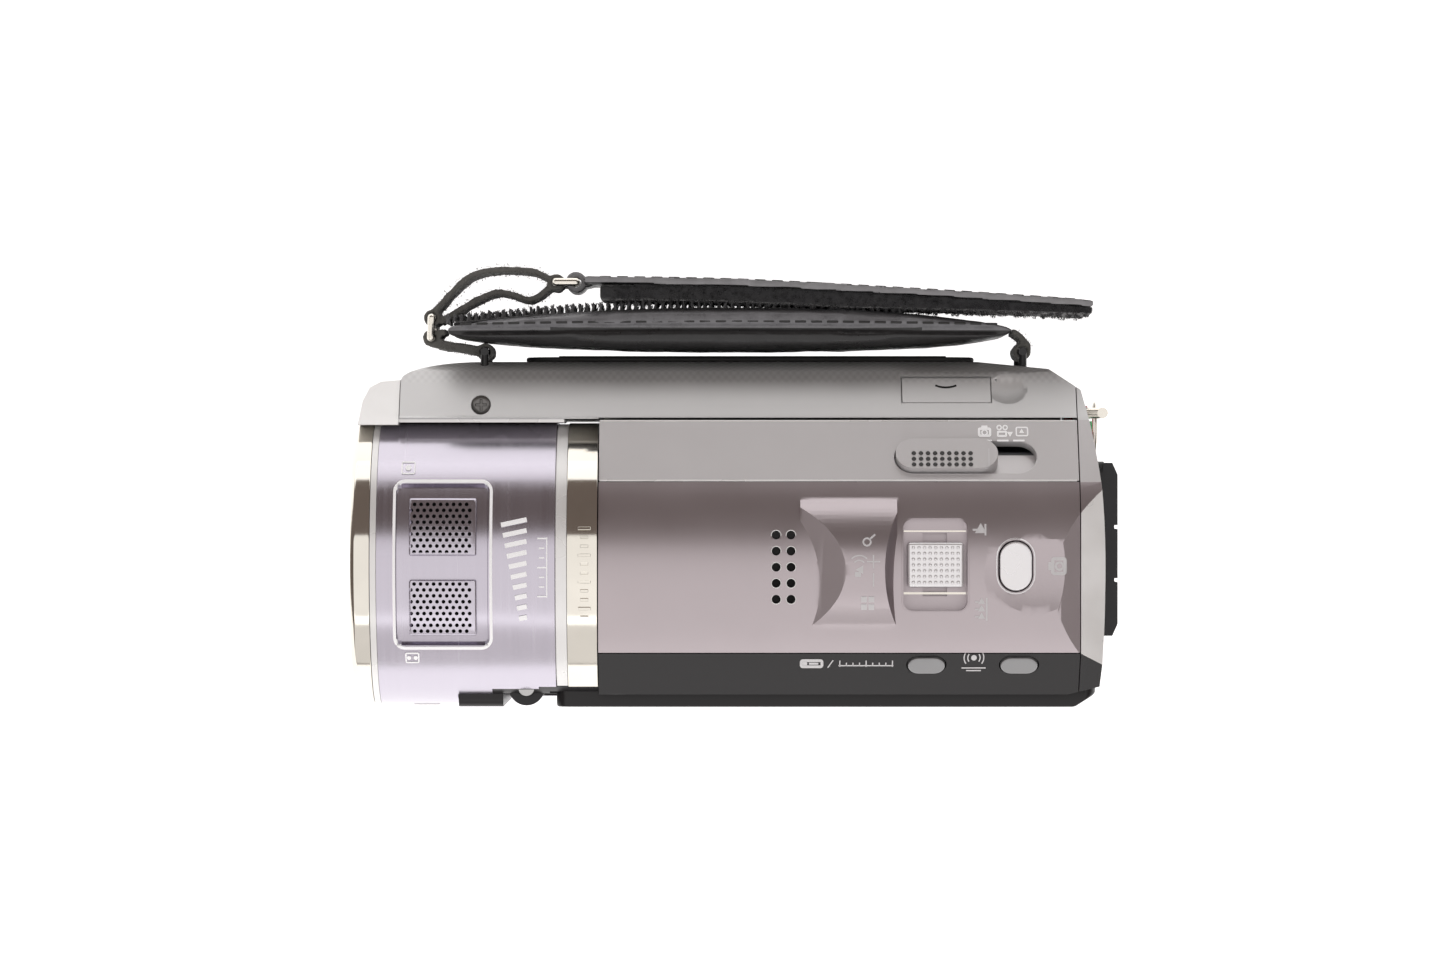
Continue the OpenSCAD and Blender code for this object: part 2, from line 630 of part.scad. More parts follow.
motor_r = 2.6;
motor_l = 7;
module lens_motors() color([0.5, 0.5, 0.52]) {
    difference() {
        rod_x(housing_x1, housing_x1 + motor_l, motor_r, barrel_y, barrel_z + rod_offset);
        screw_rod(screw_r + rod_fit, housing_x1 - 1, housing_x1 + 4.2);
    }
    block([focus_group_x - 4, barrel_y - 1.8, barrel_z - housing_inner_r + 1.2],
        [housing_x1 - 1.4, barrel_y + 1.8, barrel_z - housing_inner_r + 3.6]);
}

module image_sensor() color([0.1, 0.25, 0.15])
    block([housing_x1, barrel_y - 6.5, barrel_z - 5.5], [housing_x1 + 1.6, barrel_y + 6.5, barrel_z + 5.5]);

module zoom_group() color([0.3, 0.3, 0.32]) lens_group(zoom_group_x);
module focus_group() color([0.3, 0.3, 0.32]) lens_group(focus_group_x);
module zoom_screw() color("gold") screw_rod(screw_r, housing_x0 + 6.6, housing_x1 + 4);

module half_blade(s) along_x(blade_x0, blade_x0 + blade_t) intersection() {
    translate([barrel_y, barrel_z]) circle(blade_r);
    translate([barrel_y - 30, barrel_z + (s > 0 ? blade_open : -blade_open - 30)]) square([60, 30]);
}
module upper_cover_blade() color([0.12, 0.12, 0.13]) half_blade(1);
module lower_cover_blade() color([0.12, 0.12, 0.13]) half_blade(-1);
module cover_lever() color("silver") {
    block([lever_x - 2, barrel_y - barrel_r - 0.4, lever_z - 3], [lever_x + 2, barrel_y - barrel_r - 0.1, lever_z + 3]);
    block([lever_x - lever_slot_w / 2, barrel_y - barrel_r - 0.2, lever_z - 1],
        [lever_x + lever_slot_w / 2, barrel_y - barrel_r + 3, lever_z + 1]);
}

// ---------- Sound ----------
tray_drop = 0.5;
grille_rise = 0.9;
pads = [[barrel_y + 1.4, barrel_y + 9.9], [barrel_y - 10.5, barrel_y - 2.3]];
module mic_tray() color([0.55, 0.54, 0.6]) intersection() {
    along_x(window_x0 + eps, window_x1 - eps) difference() {
        translate([barrel_y, barrel_z]) circle(barrel_r - tray_drop);
        translate([barrel_y, barrel_z]) circle(barrel_r - skin_t - sleeve_t);
    }
    mic_window(-eps);
}
module mic_grilles() color([0.5, 0.5, 0.52]) for (p = pads) intersection() {
    along_x(window_x0 + 2, window_x0 + 12) difference() {
        translate([barrel_y, barrel_z]) circle(barrel_r - tray_drop + grille_rise);
        translate([barrel_y, barrel_z]) circle(barrel_r - tray_drop + 0.01);
    }
    block([-big, p[0], barrel_z], [big, p[1], casing_h + 9]);
}
module mic_capsules() color("silver") for (s = [-1, 1])
    translate([window_x0 + 7, barrel_y, barrel_z]) rotate([-s * 18, 0, 0])
        translate([0, 0, housing_r + 0.6]) cylinder(h = 3, r = 2.5);
module speaker() color([0.12, 0.12, 0.12]) rod_z(casing_h - 8, casing_h - 1.7 - wall, 6.4, speaker_x, photo_y);

// ---------- Boards, sockets and screws ----------
module circuit_boards() color([0.08, 0.3, 0.18]) {
    block([band_x1 + 3, battery_y + battery_w / 2 + 2.4, plate_z1 + 1.5],
        [rear_x - 8, battery_y + battery_w / 2 + 3.6, strip_low[1] - 11]);
    block([zoom_x - 8, slope_y + 5, board_z], [rear_x - 6, 4.6, board_z + 1.2]);
}
module battery_terminals() color("gold") for (k = [-1:1])
    block([battery_x0 - 2.8, battery_y - 1 + k * 4, battery_z0 + 5],
        [battery_x0 - 0.05, battery_y + 1 + k * 4, battery_z0 + 11]);
module dc_jack() color([0.1, 0.1, 0.1]) on_grip(jack_x) difference() {
    translate([0, jack_flap_y - jack_flap_w / 2 - 0.3, -9]) cylinder(h = 9 - wall - 1.5, r = 2.7);
    translate([0, jack_flap_y - jack_flap_w / 2 - 0.3, -8]) cylinder(h = 9, r = jack_r);
}
module av_ports() color([0.6, 0.6, 0.6]) for (p = av_ports_list) difference() {
    block([av_x, recess_y + wall + 0.1, p[2] - 0.8], [av_x + p[0] + 2, recess_y + 7, p[2] + p[1] + 0.8]);
    block([av_x + 1, -big, p[2]], [av_x + 1 + p[0], recess_y + 6, p[2] + p[1]]);
}
module card_socket() color([0.65, 0.65, 0.62]) difference() {
    block([card_x0 - 0.8, card_y0 - 0.6, 2.7], [card_x0 + card_l + 0.8, card_y0 + card_t + 0.6, card_slot_h + 1.5]);
    block([card_x0, card_y0, 0], [card_x0 + card_l, card_y0 + card_t, card_slot_h]);
}
module case_screws() color("dimgray") {
    for (p = base_screws) {
        rod_z(0.15, 0.9, screw_head_r, p[0], p[1]);
        rod_z(0.9 - eps, plate_z1, screw_shank_r, p[0], p[1]);
    }
    rod_z(grip_screw_z - 1.4, grip_screw_z - 0.5, screw_head_r, grip_screw[0], grip_screw[1]);
    rod_z(grip_screw_z - 6, grip_screw_z - 1.4 + eps, screw_shank_r, grip_screw[0], grip_screw[1]);
}
module status_lamp() color([0.2, 0.9, 0.3]) rod_x(rear_x - 4, rear_x - 1.3, 1, lamp_y, lamp_z);
module grip_pad() color([0.12, 0.12, 0.12]) along_y(right_y, right_y + 0.8)
    round_rect([band_x1 - 11.3, 14], [rear_x - 18.7, 37], 5);

// ---------- Buttons and switches ----------
module mode_switch_knob() color([0.3, 0.3, 0.3])
    on_strip(mode_x + button_gap + mode_knob_l / 2) translate([0, mode_slot_y, 0]) {
        translate([0, 0, -wall - 0.2]) linear_extrude(wall + 1.2)
            stadium(mode_knob_l, mode_slot_w - 2 * button_gap);
        translate([-mode_knob_l / 2 + 0.6, -mode_slot_w / 2 - 0.6, -wall - 1.2])
            cube([mode_knob_l - 1.2, mode_slot_w + 1.2, 1]);
    }
module zoom_knob() color("silver") {
    translate([zoom_x, crown_mid_y, zoom_floor_z + 0.1]) linear_extrude(casing_h + 1.1 - zoom_floor_z)
        square([zoom_knob_l, zoom_knob_w], center = true);
    translate([zoom_x, crown_mid_y, zoom_floor_z - 2.4]) linear_extrude(3)
        square(zoom_stem, center = true);
}
module photo_button() color("silver") translate([photo_x, photo_y, 0]) {
    along_z(casing_h - 4.3, casing_h + 0.1) rotate(90) stadium(photo_l, photo_w);
    along_z(casing_h - 4.9, casing_h - 4.2) rotate(90) stadium(photo_l + 1.8, photo_w + 1.8);
}
module slope_button(x) on_slope(x) translate([0, slope_button_y, 0])
    stadium_button(slope_button_l, slope_button_w, 0.35);
module auto_button() color([0.5, 0.5, 0.5]) slope_button(auto_x);
module stabiliser_button() color([0.5, 0.5, 0.5]) slope_button(stabiliser_x);
module record_button() color([0.7, 0.15, 0.15]) {
    rod_x(rear_x - 5, rear_x - 1.2, record_r, record_y, record_z);
    rod_x(rear_x - 5, rear_x - 4.2, record_r + 0.4, record_y, record_z);
}
module power_button() color("silver") {
    rod_y(recess_y - 0.05, recess_y + wall + 0.9, power_r, power_x, power_z);
    rod_y(recess_y + wall + 0.1, recess_y + wall + 0.9, power_r + 0.9, power_x, power_z);
}
module jack_cover() color([0.26, 0.26, 0.27]) on_grip(jack_x) difference() {
    union() {
        translate([-jack_flap_l / 2, jack_flap_y - jack_flap_w, -jack_flap_t])
            cube([jack_flap_l, jack_flap_w, jack_flap_t]);
        translate([-jack_flap_l / 2, jack_flap_y, -jack_flap_t / 2]) rotate([0, 90, 0])
            cylinder(h = jack_flap_l, r = jack_flap_t / 2);
    }
    translate([-jack_flap_l / 2 - 1, jack_flap_y, -jack_flap_t / 2]) rotate([0, 90, 0])
        cylinder(h = jack_flap_l + 2, r = jack_pin_r + 0.03);
}
module card_door() color([0.2, 0.2, 0.22]) difference() {
    union() {
        block([card_x0 - 1.4, door_axis[0], 0.05], [card_x0 + card_l + 1.4, door_y1, door_t]);
        rod_x(card_x0 - 1.4, card_x0 + card_l + 1.4, door_hinge_r, door_axis[0], door_axis[1]);
    }
    rod_x(card_x0 - 2.4, card_x0 + card_l + 2.4, door_pin_r + 0.05, door_axis[0], door_axis[1]);
}
module battery_latch() color([0.15, 0.15, 0.16]) {
    block([rear_x + 0.15, latch_y - 2.6, latch_z - 1.6], [rear_x + 1.2, latch_y + 2.6, latch_z + 1.6]);
    block([rear_x - 3, latch_y - 1.8, latch_z - 0.8], [rear_x + 0.2, latch_y + 1.8, latch_z + 0.8]);
}
module battery_pack() color([0.2, 0.2, 0.21]) difference() {
    union() {
        battery_body();
        along_z(battery_z0, battery_z0 + battery_h) polygon([
            [battery_x1 - 2.2, battery_y - battery_w / 2 + 0.2], [battery_x1 - 0.8, battery_y - battery_w / 2 + 0.2],
            [battery_x1, battery_y - battery_w / 2 + 2], [battery_x1, battery_y + battery_w / 2 - 2],
            [battery_x1 - 0.8, battery_y + battery_w / 2 - 0.2], [battery_x1 - 2.2, battery_y + battery_w / 2 - 0.2]
        ]);
    }
    for (y = [battery_y + 3.35, battery_y - 4.65])
        block([battery_x1 - 0.5, y - 0.3, 0], [battery_x1 + 1, y + 0.3, casing_h]);
}

// ---------- LCD panel ----------
module lcd_back_cover() color([0.16, 0.16, 0.17]) difference() {
    along_y(lcd_y0, lcd_mid_y) round_rect([lcd_x0, lcd_z0], [lcd_x1, lcd_z1], 2);
    along_z(0, casing_h) polygon([
        [lcd_x1 - lcd_chamfer[0], lcd_y0], [lcd_x1, lcd_y0 + lcd_chamfer[1]], [big, lcd_y0 + lcd_chamfer[1]],
        [big, -big], [lcd_x1 - lcd_chamfer[0], -big]
    ]);
    block(hinge_arm_low - [0, 0.05, 0.05], hinge_arm_high + [0.05, 0.05, 0.05]);
}
screen_low = [lcd_x0 + 13, lcd_z0 + 4.5];
screen_high = [lcd_x1 - 7, lcd_z1 - 4.5];
module lcd_bezel() color([0.1, 0.1, 0.1]) difference() {
    along_y(lcd_mid_y, lcd_y1) round_rect([lcd_x0, lcd_z0], [lcd_x1, lcd_z1], 2);
    block([screen_low[0], lcd_mid_y - 1, screen_low[1]], [screen_high[0], lcd_y1 + 1, screen_high[1]]);
    block(hinge_arm_low - [0, 0.05, 0.05], hinge_arm_high + [0.05, 0.05, 0.05]);
}
module lcd_screen() color([0.05, 0.06, 0.08])
    block([screen_low[0], lcd_mid_y, screen_low[1]], [screen_high[0], lcd_y1 - 0.5, screen_high[1]]);
module lcd_hinge_block() color([0.6, 0.6, 0.6]) difference() {
    union() {
        rod_z(lcd_z0, hinge_z1, hinge_r, hinge_x, hinge_y);
        block(hinge_arm_low, hinge_arm_high);
    }
    hinge_pin(hinge_pin_r + 0.05, 0, casing_h);
}
module lcd_hinge_pin() color("silver") hinge_pin(hinge_pin_r, lcd_z0 - lcd_gap - 1.2, hinge_z1 + lcd_gap + 1.2);

// ---------- Hand strap ----------
strap_z = 32;
pad_x0 = barrel_x0 + 9.6;
pad_x1 = rear_x - 13.3;
pad_y0 = right_y + 2.4;
bar_r = 0.6;
front_anchor = [barrel_x0 + 15.4, right_y + 1.55];
rear_anchor = [rear_x - 11.6, right_y + 1.55];
front_ring = [barrel_x0 + 7.3, right_y + 5.2];
ring_half = 1.5;
flap_ring = [barrel_x0 + 27.7, right_y + 12.1];
wrap_t = 0.75;
web_z0 = strap_z - web_w / 2;
web_z1 = strap_z + web_w / 2;

function pad_u(x) = (2 * x - pad_x0 - pad_x1) / (pad_x1 - pad_x0);
function pad_low(x) = pad_y0 + 1.5 * pow(pad_u(x), 2);
function pad_high(x) = pad_y0 + pad_t - 2.4 * pow(pad_u(x), 2);
function pad_mid(x) = (pad_low(x) + pad_high(x)) / 2;
function stations(x0, x1, n) = [for (k = [0:n]) x0 + (x1 - x0) * k / n];

// Smooth curve through chosen points, and a ribbon of one thickness along it
function knot(p, k) = k < 0 ? 2 * p[0] - p[1] : k > len(p) - 1 ? 2 * p[len(p) - 1] - p[len(p) - 2] : p[k];
function between(p, k, t) = 0.5 * (2 * p[k] + (knot(p, k + 1) - knot(p, k - 1)) * t
    + (2 * knot(p, k - 1) - 5 * p[k] + 4 * knot(p, k + 1) - knot(p, k + 2)) * t * t
    + (3 * p[k] - knot(p, k - 1) - 3 * knot(p, k + 1) + knot(p, k + 2)) * t * t * t);
function curve(p, n) = concat([for (k = [0:len(p) - 2], j = [0:n - 1]) between(p, k, j / n)], [p[len(p) - 1]]);
function side(p, k, d) = let (v = p[min(k + 1, len(p) - 1)] - p[max(k - 1, 0)]) p[k] + d * [-v[1], v[0]] / norm(v);
module ribbon(p, t) polygon(concat(
    [for (k = [0:len(p) - 1]) side(p, k, t / 2)],
    [for (k = [len(p) - 1:-1:0]) side(p, k, -t / 2)]
));
module wrap(p, r, t) translate(p) difference() {
    circle(r + 0.05 + t);
    circle(r + 0.05);
}

module anchor_feet() for (p = [front_anchor, rear_anchor], z = [web_z0 - 1.6, web_z1 + 1.6])
    rod_y(right_y - 2.4, p[1], bar_r, p[0], z);
module strap_lug_wire(g) {
    for (z = [39, 46]) rod_x(rear_x - 3.6, rear_x + 0.2, 0.8 + g, right_y - 7.8, z);
    rod_z(38.2, 46.8, 0.8 + g, rear_x + 0.2, right_y - 7.8);
}
module strap_anchors() color("silver") {
    anchor_feet();
    for (p = [front_anchor, rear_anchor]) rod_z(web_z0 - 2.2, web_z1 + 2.2, bar_r, p[0], p[1]);
    strap_lug_wire(0);
}
module ring_bars(p, dx, dy, h) {
    for (s = [-1, 1]) {
        rod_z(strap_z - h, strap_z + h, bar_r, p[0] + s * dx, p[1] + s * dy);
        hull() for (k = [-1, 1]) translate([p[0] + k * dx, p[1] + k * dy, strap_z + s * h]) sphere(bar_r, $fn = 16);
    }
}
module strap_rings() color("silver") {
    ring_bars(front_ring, 0.05, ring_half, web_w / 2 + 1.4);
    ring_bars(flap_ring, ring_half, 0, web_w / 2 + 1.4);
}
module strap_pad() color([0.1, 0.1, 0.1]) along_z(strap_z - strap_w / 2, strap_z + strap_w / 2) polygon(concat(
    [for (x = stations(pad_x0, pad_x1, 16)) [x, pad_low(x)]],
    [for (x = stations(pad_x1, pad_x0, 16)) [x, pad_high(x)]]
));
hook_x0 = pad_x0 + 1.2;
hook_x1 = rear_x - 30;
hook_t = 0.6;
module strap_hook_strip() color([0.15, 0.15, 0.15]) along_z(strap_z - strap_w / 2 + 3, strap_z + strap_w / 2 - 3)
    polygon(concat(
        [for (x = stations(hook_x0, hook_x1, 12)) [x, pad_high(x) + 0.02]],
        [for (x = stations(hook_x1, hook_x0, 12)) [x, pad_high(x) + hook_t]]
    ));
flap_path = [
    [flap_ring[0] + 3, right_y + 12.3], [band_x1 + 20.7, right_y + 11.9], [rear_x - 30, right_y + 10.6],
    [rear_x - 14, right_y + 9.6], [rear_x - 1.2, right_y + 8.7]
];
flap_t = 1;
pile_t = 2.4;
module strap_flap() color([0.1, 0.1, 0.1]) along_z(strap_z - strap_w / 2, strap_z + strap_w / 2)
    ribbon(flap_line, flap_t);
flap_line = curve(flap_path, 6);
pile_line = [for (k = [2:len(flap_line) - 1]) side(flap_line, k, -flap_t / 2 - pile_t / 2 - 0.05)];
module strap_loop_pile() color([0.14, 0.14, 0.14]) along_z(strap_z - strap_w / 2 + 1, strap_z + strap_w / 2 - 1)
    ribbon(pile_line, pile_t);
module strap_end_webs() color([0.16, 0.17, 0.16]) along_z(web_z0, web_z1) {
    difference() {
        union() {
            wrap(front_anchor, bar_r, wrap_t);
            wrap(front_ring - [0.05, ring_half], bar_r, wrap_t);
            ribbon(curve([front_anchor + [-1, 0.2], [front_anchor[0] - 4.4, right_y + 2.3],
                front_ring + [0.6, -ring_half - 0.9]], 5), web_t * 1.4);
            ribbon([front_ring + [0.9, -ring_half + 0.3], [pad_x0 - 0.8, pad_mid(pad_x0)],
                [pad_x0 - 0.05, pad_mid(pad_x0)]], web_t);
        }
        translate(front_anchor) circle(bar_r + 0.05);
        translate(front_ring - [0.05, ring_half]) circle(bar_r + 0.05);
    }
    difference() {
        union() {
            wrap(rear_anchor, bar_r, wrap_t);
            ribbon(curve([rear_anchor + [0.9, 0.3], [rear_anchor[0] + 0.7, right_y + 2.8],
                [pad_x1 + 0.9, pad_mid(pad_x1) - 0.2], [pad_x1 + 0.1, pad_mid(pad_x1)]], 4), web_t);
        }
        translate(rear_anchor) circle(bar_r + 0.05);
    }
}
strand_top = [flap_ring + [-2.3, 0.5], flap_ring + [-6, 1.8], flap_ring + [-14, 1.2], front_ring + [0.4, 2.6]];
strand_low = [flap_ring + [-2.2, -0.5], flap_ring + [-5.5, -2.6], flap_ring + [-11, -1.6], front_ring + [1.2, 0.9]];
module strap_doubled_web() color([0.16, 0.17, 0.16]) along_z(web_z0, web_z1) difference() {
    union() {
        ribbon(curve(strand_top, 6), web_t);
        ribbon(curve(strand_low, 6), web_t);
        wrap(flap_ring - [ring_half, 0], bar_r, wrap_t);
        wrap(front_ring + [0.05, ring_half], bar_r, wrap_t);
    }
    translate(flap_ring - [ring_half, 0]) circle(bar_r + 0.05);
    translate(front_ring + [0.05, ring_half]) circle(bar_r + 0.05);
}

chassis_frame();
base_cover();
tripod_bush();
grip_side_shell();
left_side_shell();
top_cover();
mode_switch_trim();
rear_cover();
chrome_band();
barrel_sleeve();
barrel_cover();
lens_bezel();
lens_hood();
front_lens();
lens_housing();
lens_guide_rods();
lens_motors();
image_sensor();
mic_tray();
mic_grilles();
mic_capsules();
speaker();
circuit_boards();
battery_terminals();
dc_jack();
av_ports();
card_socket();
grip_pad();
case_screws();
status_lamp();
strap_anchors();
strap_pad();
strap_hook_strip();
strap_flap();
strap_loop_pile();
strap_rings();
strap_end_webs();
strap_doubled_web();
lcd_hinge_pin();
lcd_back_cover();
lcd_bezel();
lcd_screen();
lcd_hinge_block();
mode_switch_knob();
zoom_knob();
photo_button();
auto_button();
stabiliser_button();
record_button();
power_button();
jack_cover();
card_door();
battery_latch();
battery_pack();
cover_lever();
upper_cover_blade();
lower_cover_blade();
zoom_group();
zoom_screw();
focus_group();
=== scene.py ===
import json
import math
import random

import bmesh
import bpy
from mathutils import Matrix, Vector


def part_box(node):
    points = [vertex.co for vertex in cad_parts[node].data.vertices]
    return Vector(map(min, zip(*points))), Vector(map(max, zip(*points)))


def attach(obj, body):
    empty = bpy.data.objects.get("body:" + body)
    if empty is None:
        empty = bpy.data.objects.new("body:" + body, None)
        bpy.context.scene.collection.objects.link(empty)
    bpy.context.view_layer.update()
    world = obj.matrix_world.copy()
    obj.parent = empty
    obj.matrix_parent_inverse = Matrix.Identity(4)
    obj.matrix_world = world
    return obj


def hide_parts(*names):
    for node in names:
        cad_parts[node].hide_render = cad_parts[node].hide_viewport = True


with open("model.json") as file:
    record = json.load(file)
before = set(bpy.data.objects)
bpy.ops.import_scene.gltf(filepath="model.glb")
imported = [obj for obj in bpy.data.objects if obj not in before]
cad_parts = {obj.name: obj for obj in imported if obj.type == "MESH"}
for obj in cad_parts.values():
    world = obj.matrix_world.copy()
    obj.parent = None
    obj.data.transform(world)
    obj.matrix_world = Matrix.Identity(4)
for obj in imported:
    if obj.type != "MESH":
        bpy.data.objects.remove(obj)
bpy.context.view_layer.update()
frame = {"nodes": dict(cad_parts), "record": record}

MM = 0.001
ROOT = "camera_body"
nodes = frame["nodes"]


# ---------- Hand tools ----------
def deselect():
    if bpy.context.object and bpy.context.object.mode != "OBJECT":
        bpy.ops.object.mode_set(mode="OBJECT")
    bpy.ops.object.select_all(action="DESELECT")


def hold(obj):
    """Select one object alone and make it active."""
    deselect()
    obj.select_set(True)
    bpy.context.view_layer.objects.active = obj
    return obj


def settle(obj, name=None):
    """Put the object's place, turn and scale into its mesh."""
    hold(obj)
    bpy.ops.object.transform_apply(location=True, rotation=True, scale=True)
    if name:
        obj.name = name
        obj.data.name = name
    return obj


def apply_modifier(obj, kind, **settings):
    hold(obj)
    modifier = obj.modifiers.new(kind.lower(), kind)
    for key, value in settings.items():
        setattr(modifier, key, value)
    bpy.ops.object.modifier_apply(modifier=modifier.name)
    return obj


def block(name, low, high):
    """A box between two corners, in metres."""
    low, high = Vector(low), Vector(high)
    bpy.ops.mesh.primitive_cube_add(size=1, location=(low + high) / 2)
    obj = bpy.context.object
    obj.scale = high - low
    return settle(obj, name)


def rod(name, start, end, radius, sides=48, far_radius=None):
    """A round bar, or a cone, between two points, in metres."""
    start, end = Vector(start), Vector(end)
    along = end - start
    bpy.ops.mesh.primitive_cone_add(
        vertices=sides, radius1=radius, radius2=radius if far_radius is None else far_radius,
        depth=along.length, location=(start + end) / 2)
    obj = bpy.context.object
    obj.rotation_mode = "QUATERNION"
    obj.rotation_quaternion = Vector((0, 0, 1)).rotation_difference(along)
    return settle(obj, name)


def ball(name, place, radius, sides=24):
    bpy.ops.mesh.primitive_uv_sphere_add(segments=sides, ring_count=sides // 2, radius=radius, location=place)
    return settle(bpy.context.object, name)


def ring(name, place, axis, radius, wire, sides=64, wire_sides=16):
    bpy.ops.mesh.primitive_torus_add(
        major_radius=radius, minor_radius=wire, major_segments=sides, minor_segments=wire_sides, location=place)
    obj = bpy.context.object
    obj.rotation_mode = "QUATERNION"
    obj.rotation_quaternion = Vector((0, 0, 1)).rotation_difference(Vector(axis))
    return settle(obj, name)


def twin(obj, name, shift=(0, 0, 0), turn=None):
    """A copy with its own mesh, shifted and optionally turned by a matrix."""
    copy = obj.copy()
    copy.data = obj.data.copy()
    bpy.context.collection.objects.link(copy)
    copy.name = name
    copy.data.transform(Matrix.Translation(shift) @ (turn or Matrix.Identity(4)))
    return copy


def join(name, pieces):
    deselect()
    for piece in pieces:
        piece.select_set(True)
    bpy.context.view_layer.objects.active = pieces[0]
    bpy.ops.object.join()
    obj = bpy.context.object
    obj.name = name
    obj.data.name = name
    return obj


def cut(obj, cutter, operation="DIFFERENCE"):
    """Cut, join or cross the object with another, which is used up."""
    apply_modifier(obj, "BOOLEAN", operation=operation, object=cutter, solver="EXACT")
    bpy.data.objects.remove(cutter)
    return obj


def round_edges(obj, width, segments=2, angle=30):
    apply_modifier(obj, "BEVEL", width=width, segments=segments, limit_method="ANGLE",
                   angle_limit=math.radians(angle), use_clamp_overlap=True)
    return obj


def smooth(obj, angle=30):
    hold(obj)
    bpy.ops.object.shade_smooth_by_angle(angle=math.radians(angle))
    return obj


def moulding(node, width=0.15 * MM, segments=2, angle=30, flat=1.0, step=0.0):
    """A merged copy of a CAD node with rounded sharp edges, sliced across every step where one is given."""
    obj = nodes[node].copy()
    obj.data = obj.data.copy()
    bpy.context.collection.objects.link(obj)
    obj.parent = None
    obj.name = node + "_skin"
    hold(obj)
    bpy.ops.object.mode_set(mode="EDIT")
    bpy.ops.mesh.select_all(action="SELECT")
    bpy.ops.mesh.remove_doubles(threshold=0.002 * MM)
    bpy.ops.mesh.dissolve_limited(angle_limit=math.radians(flat))
    bpy.ops.object.mode_set(mode="OBJECT")
    if width:
        round_edges(obj, width, segments, angle)
    if step:
        low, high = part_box(node)
        hold(obj)
        bpy.ops.object.mode_set(mode="EDIT")
        for cut_number in range(1, int((high[0] - low[0]) / step)):
            bpy.ops.mesh.select_all(action="SELECT")
            bpy.ops.mesh.bisect(plane_co=(low[0] + cut_number * step, 0, 0), plane_no=(1, 0, 0))
        bpy.ops.object.mode_set(mode="OBJECT")
    smooth(obj, angle)
    apply_modifier(obj, "WEIGHTED_NORMAL", keep_sharp=True)
    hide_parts(node)
    return obj


def finish(obj, body, material):
    """Give a piece its material and the body that it moves with."""
    obj.data.materials.clear()
    obj.data.materials.append(material)
    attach(obj, body)
    return obj


# ---------- Node groups ----------
def new_group(name, inputs, outputs):
    group = bpy.data.node_groups.new(name, "ShaderNodeTree")
    for label, value in inputs.items():
        socket = group.interface.new_socket(label, in_out="INPUT", socket_type="NodeSocketFloat")
        socket.default_value = value
    for label in outputs:
        group.interface.new_socket(label, in_out="OUTPUT", socket_type="NodeSocketFloat")
    return group, group.nodes.new("NodeGroupInput"), group.nodes.new("NodeGroupOutput")


def math_node(tree, operation, first, second=None):
    node = tree.nodes.new("ShaderNodeMath")
    node.operation = operation
    for socket, value in zip(node.inputs, (first, second)):
        if value is None:
            continue
        if isinstance(value, (int, float)):
            socket.default_value = value
        else:
            tree.links.new(value, socket)
    return node.outputs[0]


def object_place(tree, stretch=None):
    """Object coordinates in metres, stretched along each axis."""
    place = tree.nodes.new("ShaderNodeTexCoord").outputs["Object"]
    if stretch is None:
        return place
    scale = tree.nodes.new("ShaderNodeMapping")
    scale.inputs["Scale"].default_value = stretch
    tree.links.new(place, scale.inputs["Vector"])
    return scale.outputs["Vector"]


def noise(tree, vector, scale, detail=3.0, roughness=0.55):
    node = tree.nodes.new("ShaderNodeTexNoise")
    node.inputs["Detail"].default_value = detail
    node.inputs["Roughness"].default_value = roughness
    tree.links.new(vector, node.inputs["Vector"])
    if isinstance(scale, (int, float)):
        node.inputs["Scale"].default_value = scale
    else:
        tree.links.new(scale, node.inputs["Scale"])
    return node.outputs["Fac"]


def grain_group():
    """Fine spark texture of a moulding, with a slow drift of tone."""
    group, enter, leave = new_group("moulded_grain", {"Scale": 6000.0}, ("Height", "Tone"))
    place = object_place(group)
    fine = noise(group, place, enter.outputs["Scale"], 2.0)
    slow = noise(group, place, 90.0, 3.0)
    group.links.new(fine, leave.inputs["Height"])
    group.links.new(slow, leave.inputs["Tone"])
    return group


def brushed_group():
    """Fine lines across the body, as from a brush drawn round the barrel."""
    group, enter, leave = new_group("brushed_lines", {"Scale": 1.0}, ("Height", "Tone"))
    lines = noise(group, object_place(group, (9000.0, 60.0, 60.0)), enter.outputs["Scale"], 3.0, 0.7)
    broad = noise(group, object_place(group, (1500.0, 25.0, 25.0)), enter.outputs["Scale"], 2.0)
    group.links.new(lines, leave.inputs["Height"])
    both = math_node(group, "ADD", lines, broad)
    group.links.new(math_node(group, "MULTIPLY", both, 0.5), leave.inputs["Tone"])
    return group


def weave_group():
    """Crossed ribs of a woven band or a moulded weave, in object coordinates."""
    group, enter, leave = new_group("crossed_ribs", {"Along": 900.0, "Across": 900.0}, ("Height", "Tone"))
    place = object_place(group)
    split = group.nodes.new("ShaderNodeSeparateXYZ")
    group.links.new(place, split.inputs[0])
    along = math_node(group, "SINE", math_node(group, "MULTIPLY", split.outputs["X"], enter.outputs["Along"]))
    across = math_node(group, "SINE", math_node(group, "MULTIPLY", split.outputs["Z"], enter.outputs["Across"]))
    both = math_node(group, "MULTIPLY", along, across)
    half = math_node(group, "MULTIPLY", both, 0.5)
    group.links.new(math_node(group, "ADD", half, 0.5), leave.inputs["Height"])
    group.links.new(noise(group, place, 700.0, 3.0), leave.inputs["Tone"])
    return group


